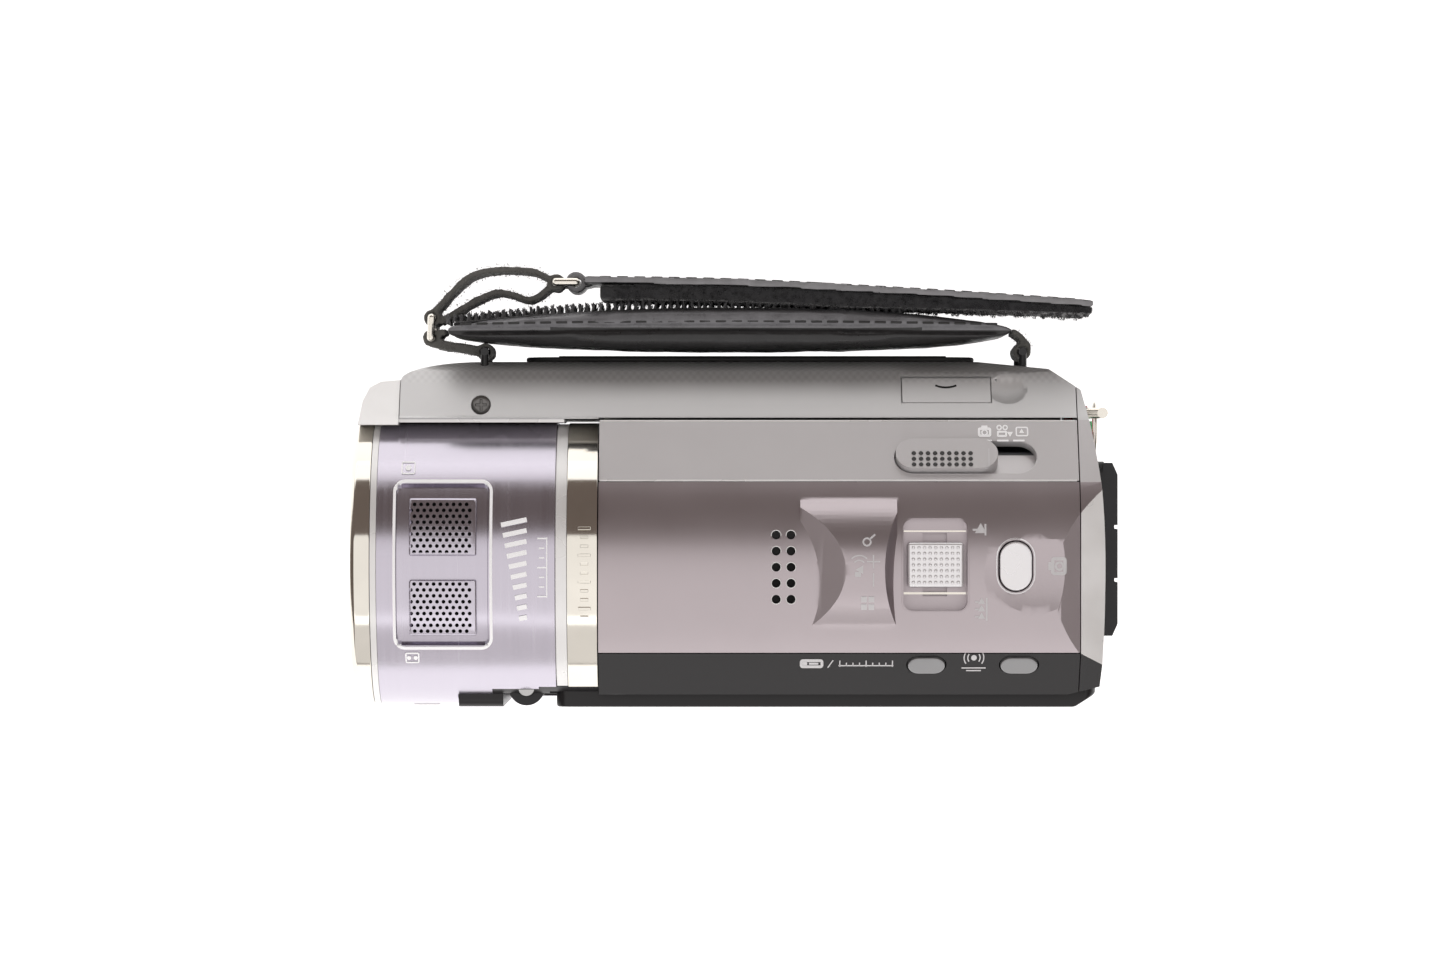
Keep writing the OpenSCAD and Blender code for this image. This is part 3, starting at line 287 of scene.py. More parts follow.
def leather_group():
    """Pebbled leather grain with fine pores."""
    group, enter, leave = new_group("leather_grain", {"Scale": 1600.0}, ("Height", "Tone"))
    place = object_place(group)
    cells = group.nodes.new("ShaderNodeTexVoronoi")
    cells.feature = "DISTANCE_TO_EDGE"
    group.links.new(place, cells.inputs["Vector"])
    group.links.new(enter.outputs["Scale"], cells.inputs["Scale"])
    creases = math_node(group, "MINIMUM", cells.outputs["Distance"], 0.25)
    soft = noise(group, place, 400.0, 4.0)
    deep = math_node(group, "MULTIPLY", creases, 2.2)
    height = math_node(group, "ADD", deep, math_node(group, "MULTIPLY", soft, 0.6))
    group.links.new(height, leave.inputs["Height"])
    group.links.new(soft, leave.inputs["Tone"])
    return group


def moulded_weave_group():
    """Fine diagonal weave moulded over the grip's side, fading out below its crest line."""
    group, enter, leave = new_group("moulded_weave", {"Pitch": 5200.0}, ("Height", "Tone"))
    place = object_place(group)
    split = group.nodes.new("ShaderNodeSeparateXYZ")
    group.links.new(place, split.inputs[0])
    up = math_node(group, "ADD", split.outputs["X"], split.outputs["Z"])
    down = math_node(group, "SUBTRACT", split.outputs["X"], split.outputs["Z"])
    first = math_node(group, "SINE", math_node(group, "MULTIPLY", up, enter.outputs["Pitch"]))
    second = math_node(group, "SINE", math_node(group, "MULTIPLY", down, enter.outputs["Pitch"]))
    both = math_node(group, "MULTIPLY", math_node(group, "ADD", first, second), 0.25)
    side = group.nodes.new("ShaderNodeMapRange")
    side.inputs["From Min"].default_value = 22.6 * MM
    side.inputs["From Max"].default_value = 23.1 * MM
    group.links.new(split.outputs["Y"], side.inputs["Value"])
    fine = noise(group, place, 7000.0, 2.0)
    woven = math_node(group, "MULTIPLY", both, side.outputs["Result"])
    rough = math_node(group, "MULTIPLY", fine, 0.4)
    group.links.new(math_node(group, "ADD", woven, rough), leave.inputs["Height"])
    slow = noise(group, place, 90.0, 3.0)
    ribs = math_node(group, "MULTIPLY", woven, 0.8)
    group.links.new(math_node(group, "ADD", ribs, slow), leave.inputs["Tone"])
    return group


GRAIN = grain_group()
BRUSHED = brushed_group()
RIBS = weave_group()
LEATHER = leather_group()
WEAVE = moulded_weave_group()


# ---------- Materials ----------
def surface(name, colour, rough, metal=0.0, group=None, values=None, bump=0.1, depth=0.02 * MM,
            tone=0.15, rough_spread=0.1, **sockets):
    """A Principled surface; a group's tone varies its colour and roughness, and its height makes the bump."""
    mat = bpy.data.materials.new(name)
    mat.use_nodes = True
    tree = mat.node_tree
    shader = tree.nodes["Principled BSDF"]
    shader.inputs["Base Color"].default_value = (*colour, 1)
    shader.inputs["Roughness"].default_value = rough
    shader.inputs["Metallic"].default_value = metal
    for key, value in sockets.items():
        shader.inputs[key.replace("_", " ")].default_value = value
    if group is None:
        return mat
    effect = tree.nodes.new("ShaderNodeGroup")
    effect.node_tree = group
    for key, value in (values or {}).items():
        effect.inputs[key].default_value = value
    ramp = tree.nodes.new("ShaderNodeMapRange")
    ramp.inputs["From Min"].default_value = 0.3
    ramp.inputs["From Max"].default_value = 0.7
    ramp.inputs["To Min"].default_value = max(rough - rough_spread, 0.02)
    ramp.inputs["To Max"].default_value = min(rough + rough_spread, 1.0)
    tree.links.new(effect.outputs["Tone"], ramp.inputs["Value"])
    tree.links.new(ramp.outputs["Result"], shader.inputs["Roughness"])
    mix = tree.nodes.new("ShaderNodeMix")
    mix.data_type = "RGBA"
    mix.inputs["A"].default_value = (*[c * (1 - tone) for c in colour], 1)
    mix.inputs["B"].default_value = (*[min(c * (1 + tone), 1) for c in colour], 1)
    tree.links.new(effect.outputs["Tone"], mix.inputs["Factor"])
    tree.links.new(mix.outputs["Result"], shader.inputs["Base Color"])
    bumper = tree.nodes.new("ShaderNodeBump")
    bumper.inputs["Strength"].default_value = bump
    bumper.inputs["Distance"].default_value = depth
    tree.links.new(effect.outputs["Height"], bumper.inputs["Height"])
    tree.links.new(bumper.outputs["Normal"], shader.inputs["Normal"])
    return mat


SKINS = {
    "magnesium_frame": surface("cast_magnesium", (0.4, 0.4, 0.42), 0.55, 0.8, GRAIN, {"Scale": 4000}),
    "charcoal_plastic": surface("charcoal_plastic", (0.02, 0.02, 0.022), 0.45, 0, GRAIN, {"Scale": 5500}, 0.2,
                                Specular_IOR_Level=0.35),
    "grip_plastic": surface("grip_plastic", (0.7, 0.7, 0.7), 0.46, 0.45, WEAVE, {}, 0.22, 0.02 * MM, tone=0.1,
                            rough_spread=0.03),
    "slope_plastic": surface("slope_plastic", (0.016, 0.015, 0.016), 0.3, 0, GRAIN, {"Scale": 6000}, 0.06,
                             Specular_IOR_Level=0.34,
                             tone=0.05, rough_spread=0.015),
    "mauve_metallic": surface("mauve_metallic", (0.47, 0.42, 0.437), 0.33, 0.9, GRAIN, {"Scale": 9000}, 0.2,
                              tone=0.05, rough_spread=0.012, Coat_Weight=0.15),
    "strip_plastic": surface("strip_plastic", (0.62, 0.605, 0.61), 0.42, 0.6, GRAIN, {"Scale": 8000}, 0.1,
                             tone=0.04, rough_spread=0.02),
    "lavender_aluminium": surface("lavender_aluminium", (0.56, 0.53, 0.6), 0.25, 1.0, BRUSHED, {}, 0.08,
                                  tone=0.08, rough_spread=0.03),
    "warm_chrome": surface("warm_chrome", (0.78, 0.75, 0.68), 0.11, 1.0, GRAIN, {"Scale": 800}, 0.01,
                           rough_spread=0.03),
    "silver_paint": surface("silver_paint", (0.92, 0.91, 0.89), 0.32, 0.3, GRAIN, {"Scale": 8000}, 0.05),
    "silver_knob": surface("silver_knob", (0.8, 0.79, 0.8), 0.3, 0.8, GRAIN, {"Scale": 8000}, 0.06, tone=0.06),
    "black_plastic": surface("black_plastic", (0.012, 0.012, 0.013), 0.45, 0, GRAIN, {"Scale": 6000}, 0.15),
    "steel": surface("ground_steel", (0.5, 0.5, 0.5), 0.28, 1.0, BRUSHED, {}, 0.05),
    "brass_bush": surface("plated_brass", (0.62, 0.58, 0.48), 0.25, 1.0, GRAIN, {"Scale": 3000}, 0.03),
    "board_green": surface("solder_mask", (0.01, 0.09, 0.04), 0.35, 0, GRAIN, {"Scale": 2500}, 0.05),
    "gold_contact": surface("gold_contact", (0.8, 0.58, 0.22), 0.2, 1.0, GRAIN, {"Scale": 3000}, 0.02),
    "rubber_grip": surface("rubber_grip", (0.02, 0.02, 0.02), 0.6, 0, GRAIN, {"Scale": 3500}, 0.35),
    "strap_leather": surface("strap_leather", (0.02, 0.02, 0.021), 0.36, 0, LEATHER, {"Scale": 1500}, 0.3,
                             0.06 * MM, tone=0.35, rough_spread=0.12),
    "strap_webbing": surface("strap_webbing", (0.13, 0.128, 0.118), 0.8, 0, RIBS,
                             {"Along": 7000, "Across": 5200}, 0.7, 0.12 * MM, tone=0.4, Sheen_Weight=0.3),
    "hook_and_loop": surface("hook_and_loop", (0.022, 0.022, 0.024), 0.85, 0, GRAIN, {"Scale": 1500}, 0.8,
                             0.2 * MM, tone=0.5, Sheen_Weight=0.4),
    "screen_glass": surface("screen_glass", (0.006, 0.007, 0.01), 0.08, 0, GRAIN, {"Scale": 500}, 0.0),
    "lamp_green": surface("lamp_green", (0.05, 0.4, 0.12), 0.2, 0, GRAIN, {"Scale": 2000}, 0.02),
    "record_red": surface("record_red", (0.35, 0.02, 0.02), 0.25, 0, GRAIN, {"Scale": 3000}, 0.03),
    "button_grey": surface("button_grey", (0.3, 0.3, 0.305), 0.35, 0.75, GRAIN, {"Scale": 8000}, 0.08,
                           tone=0.08),
    "lens_glass": surface("coated_glass", (0.9, 0.95, 1.0), 0.02, 0, None, Transmission_Weight=1.0, IOR=1.5,
                          Coat_Weight=0.3),
}
# White print with a faint emission: a painted glow that makes the marks read whiter than the lamps light them. The
# same glowing white also serves as a painted highlight.
GLOWING_WHITE = surface("glowing_white", (0.96, 0.96, 0.97), 0.45, 0, GRAIN, {"Scale": 5000}, 0.03, tone=0.02,
                    Emission_Color=(1, 1, 1, 1), Emission_Strength=0.12)
GREY_INK = surface("grey_ink", (0.66, 0.65, 0.66), 0.5, 0, GRAIN, {"Scale": 5000}, 0.03, tone=0.03)
BLACK_FELT = surface("black_felt", (0.004, 0.004, 0.004), 0.95, 0, GRAIN, {"Scale": 3000}, 0.4, tone=0.3)
DARK_KNOB = surface("dark_knob_bumps", (0.06, 0.06, 0.06), 0.45, 0.2, GRAIN, {"Scale": 8000}, 0.08)
DARK_SCREW = surface("blackened_screw", (0.16, 0.155, 0.15), 0.35, 0.9, GRAIN, {"Scale": 4000}, 0.1)
# Lighter leather for the strap pad's outer half: a painted highlight band standing for the light along the pad's top
# edge, over the leather's own grain.
OUTER_LEATHER_HIGHLIGHT = surface("outer_leather_highlight", (0.17, 0.17, 0.18), 0.34, 0, LEATHER, {"Scale": 1500}, 0.4, 0.08 * MM,
                       tone=0.55, rough_spread=0.12)
# Lighter leather for the flap's cut edges: partly the cut edge's own paler tone and partly a painted highlight along
# the flap's top edge.
CUT_EDGE_HIGHLIGHT = surface("leather_cut_edge_highlight", (0.26, 0.26, 0.27), 0.5, 0, LEATHER, {"Scale": 2600}, 0.3, 0.05 * MM,
                   tone=0.4)
PILE_FIBRE = surface("pile_fibre", (0.055, 0.055, 0.058), 0.7, 0, GRAIN, {"Scale": 2500}, 0.2, tone=0.5)
HOOK_FIBRE = surface("hook_fibre", (0.12, 0.12, 0.125), 0.35, 0, GRAIN, {"Scale": 2500}, 0.1, tone=0.4)
THREAD = surface("waxed_thread", (0.03, 0.03, 0.03), 0.55, 0, GRAIN, {"Scale": 4000}, 0.3, tone=0.3)

slots = {s["node"]: s["material_slot"] for s in frame["record"]["subparts"]}
body_of = {node: body for body, group in frame["record"]["behaviour"]["bodies"].items() for node in group}


# ---------- Camera, light and floor ----------
def area_light(name, place, aim, size, power, colour=(1, 1, 1)):
    light = bpy.data.lights.new(name, "AREA")
    light.shape = "RECTANGLE"
    light.size, light.size_y = size
    light.energy = power
    light.color = colour
    obj = bpy.data.objects.new(name, light)
    obj.location = place
    obj.rotation_euler = (Vector(aim) - Vector(place)).to_track_quat("-Z", "Y").to_euler()
    obj.visible_camera = False
    bpy.context.collection.objects.link(obj)
    return obj


def studio():
    view_distance = 1.05
    middle = (-2.07 * MM, 7.87 * MM, 31 * MM)
    view_width = 221 * MM
    camera = bpy.data.cameras.new("overhead_camera")
    camera.sensor_width = 36
    camera.lens = camera.sensor_width * view_distance / view_width
    camera.clip_start = 0.01
    holder = bpy.data.objects.new("overhead_camera", camera)
    holder.location = (middle[0], middle[1], middle[2] + view_distance)
    bpy.context.collection.objects.link(holder)
    bpy.context.scene.camera = holder

    world = bpy.data.worlds.new("pale_studio")
    world.use_nodes = True
    world.node_tree.nodes["Background"].inputs["Color"].default_value = (0.16, 0.128, 0.115, 1)
    world.node_tree.nodes["Background"].inputs["Strength"].default_value = 1.0
    bpy.context.scene.world = world
    bpy.context.scene.view_settings.view_transform = "Standard"

    area_light("top_softbox", (0, -0.48, 1.25), (0, -0.48, 0), (3.0, 2.0), 17.5)
    area_light("lcd_side_softbox", (0, -1.5, 0.7), (0, 0, 0.03), (2.6, 1.4), 8)
    area_light("grip_side_softbox", (0, 1.5, 0.25), (0, 0, 0.05), (2.6, 0.5), 5.5)

    bpy.ops.mesh.primitive_plane_add(size=6, location=(0, 0, -0.02 * MM))
    floor = settle(bpy.context.object, "studio_floor")
    paper = surface("white_paper", (0.93, 0.93, 0.93), 0.9, 0, GRAIN, {"Scale": 300}, 0.0, tone=0.005)
    shader = paper.node_tree.nodes["Principled BSDF"]
    shader.inputs["Emission Color"].default_value = (1, 1, 1, 1)
    shader.inputs["Emission Strength"].default_value = 0.8
    floor.data.materials.append(paper)


studio()

# ---------- CAD nodes ----------
for node, obj in nodes.items():
    obj.data.materials.clear()
    obj.data.materials.append(SKINS[slots[node]])

# Edge rounding of each moulded cover or turned part, in millimetres
EDGES = {
    "grip_side_shell": 0.3, "left_side_shell": 0.25, "top_cover": 0.3, "mode_switch_trim": 0.12, "rear_cover": 0.3,
    "chrome_band": 0.12, "barrel_sleeve": 0.15, "barrel_cover": 0.12, "lens_bezel": 0.2, "base_cover": 0.12,
    "lcd_back_cover": 0.35, "lcd_bezel": 0.25, "lcd_hinge_block": 0.2, "mode_switch_knob": 0.45, "zoom_knob": 0.45,
    "photo_button": 0.5, "auto_button": 0.4, "stabiliser_button": 0.4, "record_button": 0.4, "power_button": 0.3,
    "jack_cover": 0.12, "card_door": 0.15, "battery_latch": 0.2, "battery_pack": 0.3, "cover_lever": 0.2,
    "mic_tray": 0.1, "grip_pad": 0.3, "tripod_bush": 0.15, "strap_anchors": 0.0,
    "lens_hood": 0.1, "upper_cover_blade": 0.05, "lower_cover_blade": 0.05,
}
SLICED = ("grip_side_shell", "left_side_shell", "top_cover", "mode_switch_trim")
skins = {}
for node, width in EDGES.items():
    skin = moulding(node, width * MM, step=1.6 * MM if node in SLICED else 0)
    skins[node] = finish(skin, body_of[node], SKINS[slots[node]])


# ---------- Marks and small parts laid on a surface, placed as seen from above ----------
HIGH = 80 * MM


def spot(target, x, y, from_above=True):
    """Where a vertical line at x, y (in millimetres) meets the target."""
    start = Vector((x * MM, y * MM, HIGH if from_above else -HIGH))
    hit, place, normal, _ = target.ray_cast(start, Vector((0, 0, -1 if from_above else 1)))
    if not hit:
        raise ValueError("nothing under %s, %s on %s" % (x, y, target.name))
    return place, normal


def bar(x, y, length, width, turn=0, cuts=5):
    """A flat bar, in millimetres and degrees; its length runs along x before it is turned."""
    bpy.ops.mesh.primitive_plane_add(size=1, location=(x * MM, y * MM, HIGH))
    obj = bpy.context.object
    obj.scale = (length * MM, width * MM, 1)
    obj.rotation_euler.z = math.radians(turn)
    settle(obj, "bar")
    bpy.ops.object.mode_set(mode="EDIT")
    bpy.ops.mesh.select_all(action="SELECT")
    bpy.ops.mesh.subdivide(number_cuts=cuts)
    bpy.ops.object.mode_set(mode="OBJECT")
    return obj


def disc(x, y, radius, sides=24, turn=0):
    bpy.ops.mesh.primitive_circle_add(vertices=sides, radius=radius * MM, fill_type="TRIFAN",
                                      location=(x * MM, y * MM, HIGH))
    obj = bpy.context.object
    obj.rotation_euler.z = math.radians(turn)
    return settle(obj, "disc")


def outline(obj, width, cuts=0):
    """Keep only a flat face's border, of one width in millimetres."""
    hold(obj)
    bpy.ops.object.mode_set(mode="EDIT")
    bpy.ops.mesh.select_all(action="SELECT")
    bpy.ops.mesh.inset(thickness=width * MM)
    bpy.ops.mesh.delete(type="FACE")
    bpy.ops.mesh.select_all(action="SELECT")
    if cuts:
        bpy.ops.mesh.subdivide(number_cuts=cuts)
    bpy.ops.object.mode_set(mode="OBJECT")
    return obj


def hoop(x, y, radius, width, sides=32):
    bpy.ops.mesh.primitive_circle_add(vertices=sides, radius=radius * MM, fill_type="NGON",
                                      location=(x * MM, y * MM, HIGH))
    return outline(settle(bpy.context.object, "hoop"), width)


def round_plate(x, y, length, width, corner, segments=6):
    """A flat rectangle with round corners, in millimetres."""
    bpy.ops.mesh.primitive_plane_add(size=1, location=(x * MM, y * MM, HIGH))
    obj = bpy.context.object
    obj.scale = (length * MM, width * MM, 1)
    settle(obj, "plate")
    bpy.ops.object.mode_set(mode="EDIT")
    bpy.ops.mesh.select_all(action="SELECT")
    bpy.ops.mesh.bevel(affect="VERTICES", offset=corner * MM, segments=segments)
    bpy.ops.object.mode_set(mode="OBJECT")
    return obj


def frame_plate(x, y, length, width, corner, line, cuts=6):
    return outline(round_plate(x, y, length, width, corner), line, cuts)


def arc(x, y, radius, width, start, end):
    """Part of a hoop, from one angle to another in degrees."""
    obj = hoop(x, y, radius, width, 48)
    hold(obj)
    bpy.ops.object.mode_set(mode="EDIT")
    mesh = bmesh.from_edit_mesh(obj.data)
    centre = Vector((x * MM, y * MM))
    for face in mesh.faces:
        middle = face.calc_center_median().xy - centre
        turn = math.degrees(math.atan2(middle.y, middle.x)) % 360
        inside = start <= turn <= end or start <= turn - 360 <= end
        face.select_set(not inside)
    bmesh.update_edit_mesh(obj.data)
    bpy.ops.mesh.delete(type="FACE")
    bpy.ops.object.mode_set(mode="OBJECT")
    return obj


def lay(name, target, parts, body, material, lift=0.015, thickness=0.04, edge=0.0):
    """Join flat parts, drop them onto the target from above and thicken them; millimetres."""
    obj = join(name, parts)
    apply_modifier(obj, "SHRINKWRAP", target=target, wrap_method="PROJECT", use_project_z=True,
                   use_negative_direction=True, use_positive_direction=False, offset=lift * MM)
    hold(obj)
    bpy.ops.object.mode_set(mode="EDIT")
    mesh = bmesh.from_edit_mesh(obj.data)
    for vertex in mesh.verts:
        vertex.select_set(vertex.co.z > HIGH - MM)
    bmesh.update_edit_mesh(obj.data)
    bpy.ops.mesh.delete(type="VERT")
    mesh = bmesh.from_edit_mesh(obj.data)
    mesh.normal_update()
    for face in mesh.faces:
        face.select_set(face.normal.z < 0)
    bmesh.update_edit_mesh(obj.data)
    bpy.ops.mesh.flip_normals()
    bpy.ops.object.mode_set(mode="OBJECT")
    apply_modifier(obj, "SOLIDIFY", thickness=thickness * MM, offset=1.0)
    if edge:
        round_edges(obj, edge * MM, 1)
    smooth(obj)
    return finish(obj, body, material)


def bumps(name, target, places, radius, height, body, material, sides=10):
    """Low domes set on the target at places given in millimetres."""
    domes = []
    for x, y in places:
        place, normal = spot(target, x, y)
        bpy.ops.mesh.primitive_uv_sphere_add(segments=sides, ring_count=6, radius=radius * MM, location=place)
        dome = bpy.context.object
        dome.rotation_mode = "QUATERNION"
        dome.rotation_quaternion = Vector((0, 0, 1)).rotation_difference(normal)
        dome.scale = (1, 1, height / radius)
        domes.append(settle(dome, "dome"))
    return finish(smooth(join(name, domes), 60), body, material)


def second_skin(obj, material, chosen):
    """Give the faces that the test picks a second material."""
    obj.data.materials.append(material)
    for polygon in obj.data.polygons:
        if chosen(polygon.center / MM, polygon.normal):
            polygon.material_index = len(obj.data.materials) - 1
    return obj


REAR_ZONES = (("grip_plastic", 17.2, 40), ("strip_plastic", 7.9, 17.2), ("mauve_metallic", -17.6, 7.9),
              ("slope_plastic", -40, -17.6))
for zone, y0, y1 in REAR_ZONES:
    second_skin(skins["rear_cover"], SKINS[zone],
                lambda place, normal, y0=y0, y1=y1: normal.x < 0.93 and place.x < 53.4 and y0 < place.y <= y1)
second_skin(skins["strap_anchors"], SKINS["black_plastic"], lambda place, _: place.x < 50)
finish(skins["lcd_hinge_block"], body_of["lcd_hinge_block"], SKINS["charcoal_plastic"])
barrel = skins["barrel_cover"]
top = skins["top_cover"]
strip = skins["mode_switch_trim"]
slope = skins["left_side_shell"]
BAND = skins["chrome_band"]


# ---------- Barrel: microphone tray, grilles and marks ----------
def microphone():
    # The tray's white outline is a painted highlight: a glowing white frame stands for the light caught on the
    # tray's polished lip.
    line = lay("mic_tray_lip_highlight", barrel, [frame_plate(-43.65, -4.5, 14.8, 25.1, 1.7, 0.42, 10)], ROOT, GLOWING_WHITE,
               -0.05, 0.22, 0.08)
    tray = skins["mic_tray"]
    pad = moulding("mic_grilles", 0.3 * MM, 3)
    hole, pitch_x, pitch_y = 0.29, 0.966, 0.88
    pins = []
    for middle_y in (0.95, -10.85):
        for row in range(9):
            count = 9 + row % 2
            y = middle_y + (row - 4) * pitch_y
            for column in range(count):
                x = -43.95 + (column - (count - 1) / 2) * pitch_x
                pins.append(rod("pin", (x * MM, y * MM, 55 * MM), (x * MM, y * MM, 66 * MM), hole * MM, 12))
    cut(pad, join("pins", pins))
    finish(smooth(pad, 35), ROOT, SKINS["lavender_aluminium"])
    pad.name = "perforated_mic_grilles"
    felt = [bar(-43.6, 1.1, 9.4, 7.6, 0, 12), bar(-43.6, -10.9, 9.4, 7.6, 0, 12)]
    lay("mic_felt", tray, felt, ROOT, BLACK_FELT, 0.01, 0.03)
    return line


def barrel_marks():
    marks = [frame_plate(-48.9, 9.9, 2.1, 1.9, 0.3, 0.2, 2), disc(-48.9, 9.9, 0.42),
             frame_plate(-48.3, -18.4, 2.1, 1.6, 0.3, 0.2, 2), disc(-48.8, -18.4, 0.3), disc(-47.8, -18.4, 0.3)]
    ticks = 10
    for tick in range(ticks):
        share = tick / (ticks - 1)
        length = 1.2 + 2.7 * share
        y = -12.4 + 14.2 * share
        marks.append(bar(-31.1 - length / 2, y, length, 0.7, 12, 7))
    for tick in range(7):
        marks.append(bar(-28.9, -9.2 + 8.6 * tick / 6, 1.3 if tick % 3 == 0 else 0.8, 0.22, 0, 2))
    marks.append(bar(-28.15, -4.9, 8.9, 0.18, 90, 24))
    lay("barrel_marks", barrel, marks, ROOT, GLOWING_WHITE, 0.08, 0.05)


def band_ticks():
    ticks = [bar(-22.6, 0.9 - 1.32 * tick, 1.9 if tick % 3 == 0 else 1.2, 0.42, 0, 2) for tick in range(11)]
    lay("band_relief", BAND, ticks, ROOT, SKINS["warm_chrome"], 0.02, 0.2, 0.05)


microphone()
barrel_marks()
band_ticks()


# ---------- Top panel ----------
def speaker_rims():
    rims = []
    for side in (-1.1, 1.1):
        for row in range(-2, 3):
            x, y = 7.0 + side, -4.85 + 2.38 * row
            place, _ = spot(top, x + 0.95, y)
            centre = (x * MM, y * MM, place.z - 0.02 * MM)
            rims.append(ring("rim", centre, (0, 0, 1), 0.72 * MM, 0.07 * MM, 28, 8))
    finish(smooth(join("speaker_rims", rims), 60), ROOT, SKINS["silver_paint"])


def top_marks():
    shutter = [frame_plate(47.9, -4.7, 2.3, 2.7, 0.5, 0.5, 2), hoop(48.0, -4.7, 0.7, 0.32, 24),
               bar(46.6, -4.7, 0.5, 1.2)]
    hump_signs = [
        hoop(19.35, -1.1, 0.68, 0.26, 24), bar(20.15, -0.35, 1.1, 0.28, 40, 2),
        bar(20.3, -4.0, 2.0, 0.2, 0, 2), bar(20.3, -4.0, 0.2, 2.0, 0, 2), bar(20.3, -6.7, 0.2, 2.0, 0, 2),
        bar(18.0, -5.9, 0.9, 0.75, 0, 2), disc(18.4, -5.2, 0.75, 3, 90),
        arc(18.2, -4.7, 1.0, 0.2, 40, 140), arc(18.2, -4.7, 1.7, 0.2, 45, 135),
    ]
    for x in (18.9, 20.0):
        for y in (-9.6, -10.75):
            hump_signs.append(bar(x, y, 0.85, 0.85, 0, 2))
    zoom_signs = [disc(36.3, 0.7, 1.0, 3, 0), bar(35.6, 0.7, 1.0, 0.3, 0, 2), bar(37.0, 0.7, 0.3, 1.7, 0, 2)]
    for y in (-10.0, -11.1, -12.2):
        zoom_signs += [disc(36.4, y, 0.62, 3, 0), bar(35.7, y, 0.5, 0.22, 0, 2)]
    zoom_signs.append(bar(37.15, -11.1, 0.25, 3.4, 0, 4))
    lay("top_panel_marks", top, shutter + hump_signs + zoom_signs, ROOT, GREY_INK, 0.03, 0.03)


def mode_marks():
    marks = [
        frame_plate(37.2, 15.25, 2.0, 1.4, 0.35, 0.34, 2), hoop(37.2, 15.2, 0.5, 0.2, 20),
        bar(37.2, 16.1, 0.9, 0.3),
        frame_plate(39.8, 15.0, 1.5, 0.9, 0.2, 0.26, 2), disc(41.0, 15.05, 0.5, 3, 180),
        hoop(39.4, 15.95, 0.42, 0.2, 16), hoop(40.3, 15.95, 0.42, 0.2, 16),
        frame_plate(42.8, 15.35, 1.9, 1.45, 0.3, 0.2, 2), disc(42.75, 15.35, 0.42, 3, 0),
    ]
    for x in (37.4, 39.9, 42.3):
        marks.append(bar(x, 14.0, 1.7, 0.24, 0, 2))
    lay("mode_switch_marks", strip, marks, ROOT, GLOWING_WHITE, 0.03, 0.03)


def slope_marks():
    marks = [frame_plate(11.2, -19.25, 3.5, 1.35, 0.45, 0.42, 4), disc(10.2, -19.25, 0.36),
             bar(11.5, -19.25, 1.4, 0.3),
             bar(14.0, -19.3, 1.4, 0.16, 55, 2), bar(19.3, -19.55, 8.2, 0.17, 0, 14)]
    for tick in range(9):
        y, length = (-19.25, 0.95) if tick % 4 == 0 else (-19.35, 0.5)
        marks.append(bar(15.4 + tick * 0.98, y, 0.17, length))
    marks += [disc(35.35, -18.35, 0.42, 20), bar(35.35, -19.9, 3.6, 0.17, 0, 6),
              bar(35.35, -20.3, 2.2, 0.17, 0, 4)]
    for radius in (1.0, 1.55):
        marks += [arc(35.35, -18.35, radius, 0.17, -40, 40), arc(35.35, -18.35, radius, 0.17, 140, 220)]
    lay("slope_marks", slope, marks, ROOT, GREY_INK, 0.03, 0.03)


def edge_highlight_lines():
    """Fine silver edging between the covers, running on over the rear bevel: a painted highlight standing for the
    light caught on the strip's bevelled edges.
    """
    for name, y, target in (("upper_edge_highlight", 16.95, strip), ("lower_edge_highlight", 8.02, strip)):
        line = bar(15.2, y, 71.2, 0.16, 0, 60)
        lay(name, target, [line], ROOT, SKINS["silver_paint"], -0.02, 0.1, 0)


ZOOM_MIDDLE = (29.55, -4.5)
ZOOM_FLOOR_Z = 58.6
STEM_SHIELD = ((26.2, -12.2, 57.2), (32.9, 1.6, 57.35))
STRIP_TOP = (7.8, 57.5)
STRIP_FOOT = (17.1, 50.9)


def zoom_details():
    knob = skins["zoom_knob"]
    middle_x, middle_y = ZOOM_MIDDLE
    grid = [(middle_x + (column - 4) * 0.83, middle_y + (row - 3) * 0.86) for column in range(9) for row in range(7)]
    bumps("zoom_knob_dots", knob, grid, 0.27, 0.16, "zoom_rocker", SKINS["silver_knob"], 8)
    rim = frame_plate(*ZOOM_MIDDLE, 10.1, 14.2, 1.6, 0.22, 8)
    lay("zoom_well_rim", top, [rim], ROOT, SKINS["mauve_metallic"], -0.02, 0.08, 0.02)
    # Thin chrome bars at the well's edges: a static edge of the well, made bright to stand as a painted highlight
    # line under the knob.
    floor, step_rise = ZOOM_FLOOR_Z, 0.03
    parts = [block("bar", (24.9 * MM, y0 * MM, (floor - 0.02) * MM), (34.2 * MM, y1 * MM, (floor + step_rise) * MM))
             for y0, y1 in ((-8.95, -8.6), (0.35, 0.6))]
    finish(round_edges(join("zoom_well_highlight_bars", parts), 0.01 * MM, 1), ROOT, SKINS["warm_chrome"])
    low, high = STEM_SHIELD
    shield = block("zoom_dust_shield", Vector(low) * MM, Vector(high) * MM)
    finish(round_edges(shield, 0.05 * MM, 1), "zoom_rocker", SKINS["mauve_metallic"])


def mode_knob_details():
    knob = skins["mode_switch_knob"]
    grid = [(26.5 + 1.06 * column, 12.1 - 0.84 * row) for column in range(9) for row in range(3)]
    bumps("mode_knob_dots", knob, grid, 0.36, 0.26, "mode_switch", DARK_KNOB, 10)
    lay("mode_knob_index", knob, [bar(37.7, 11.6, 0.22, 2.4, 0, 4), arc(37.1, 10.45, 0.7, 0.22, 270, 360)],
        "mode_switch", GREY_INK, 0.005, 0.02)


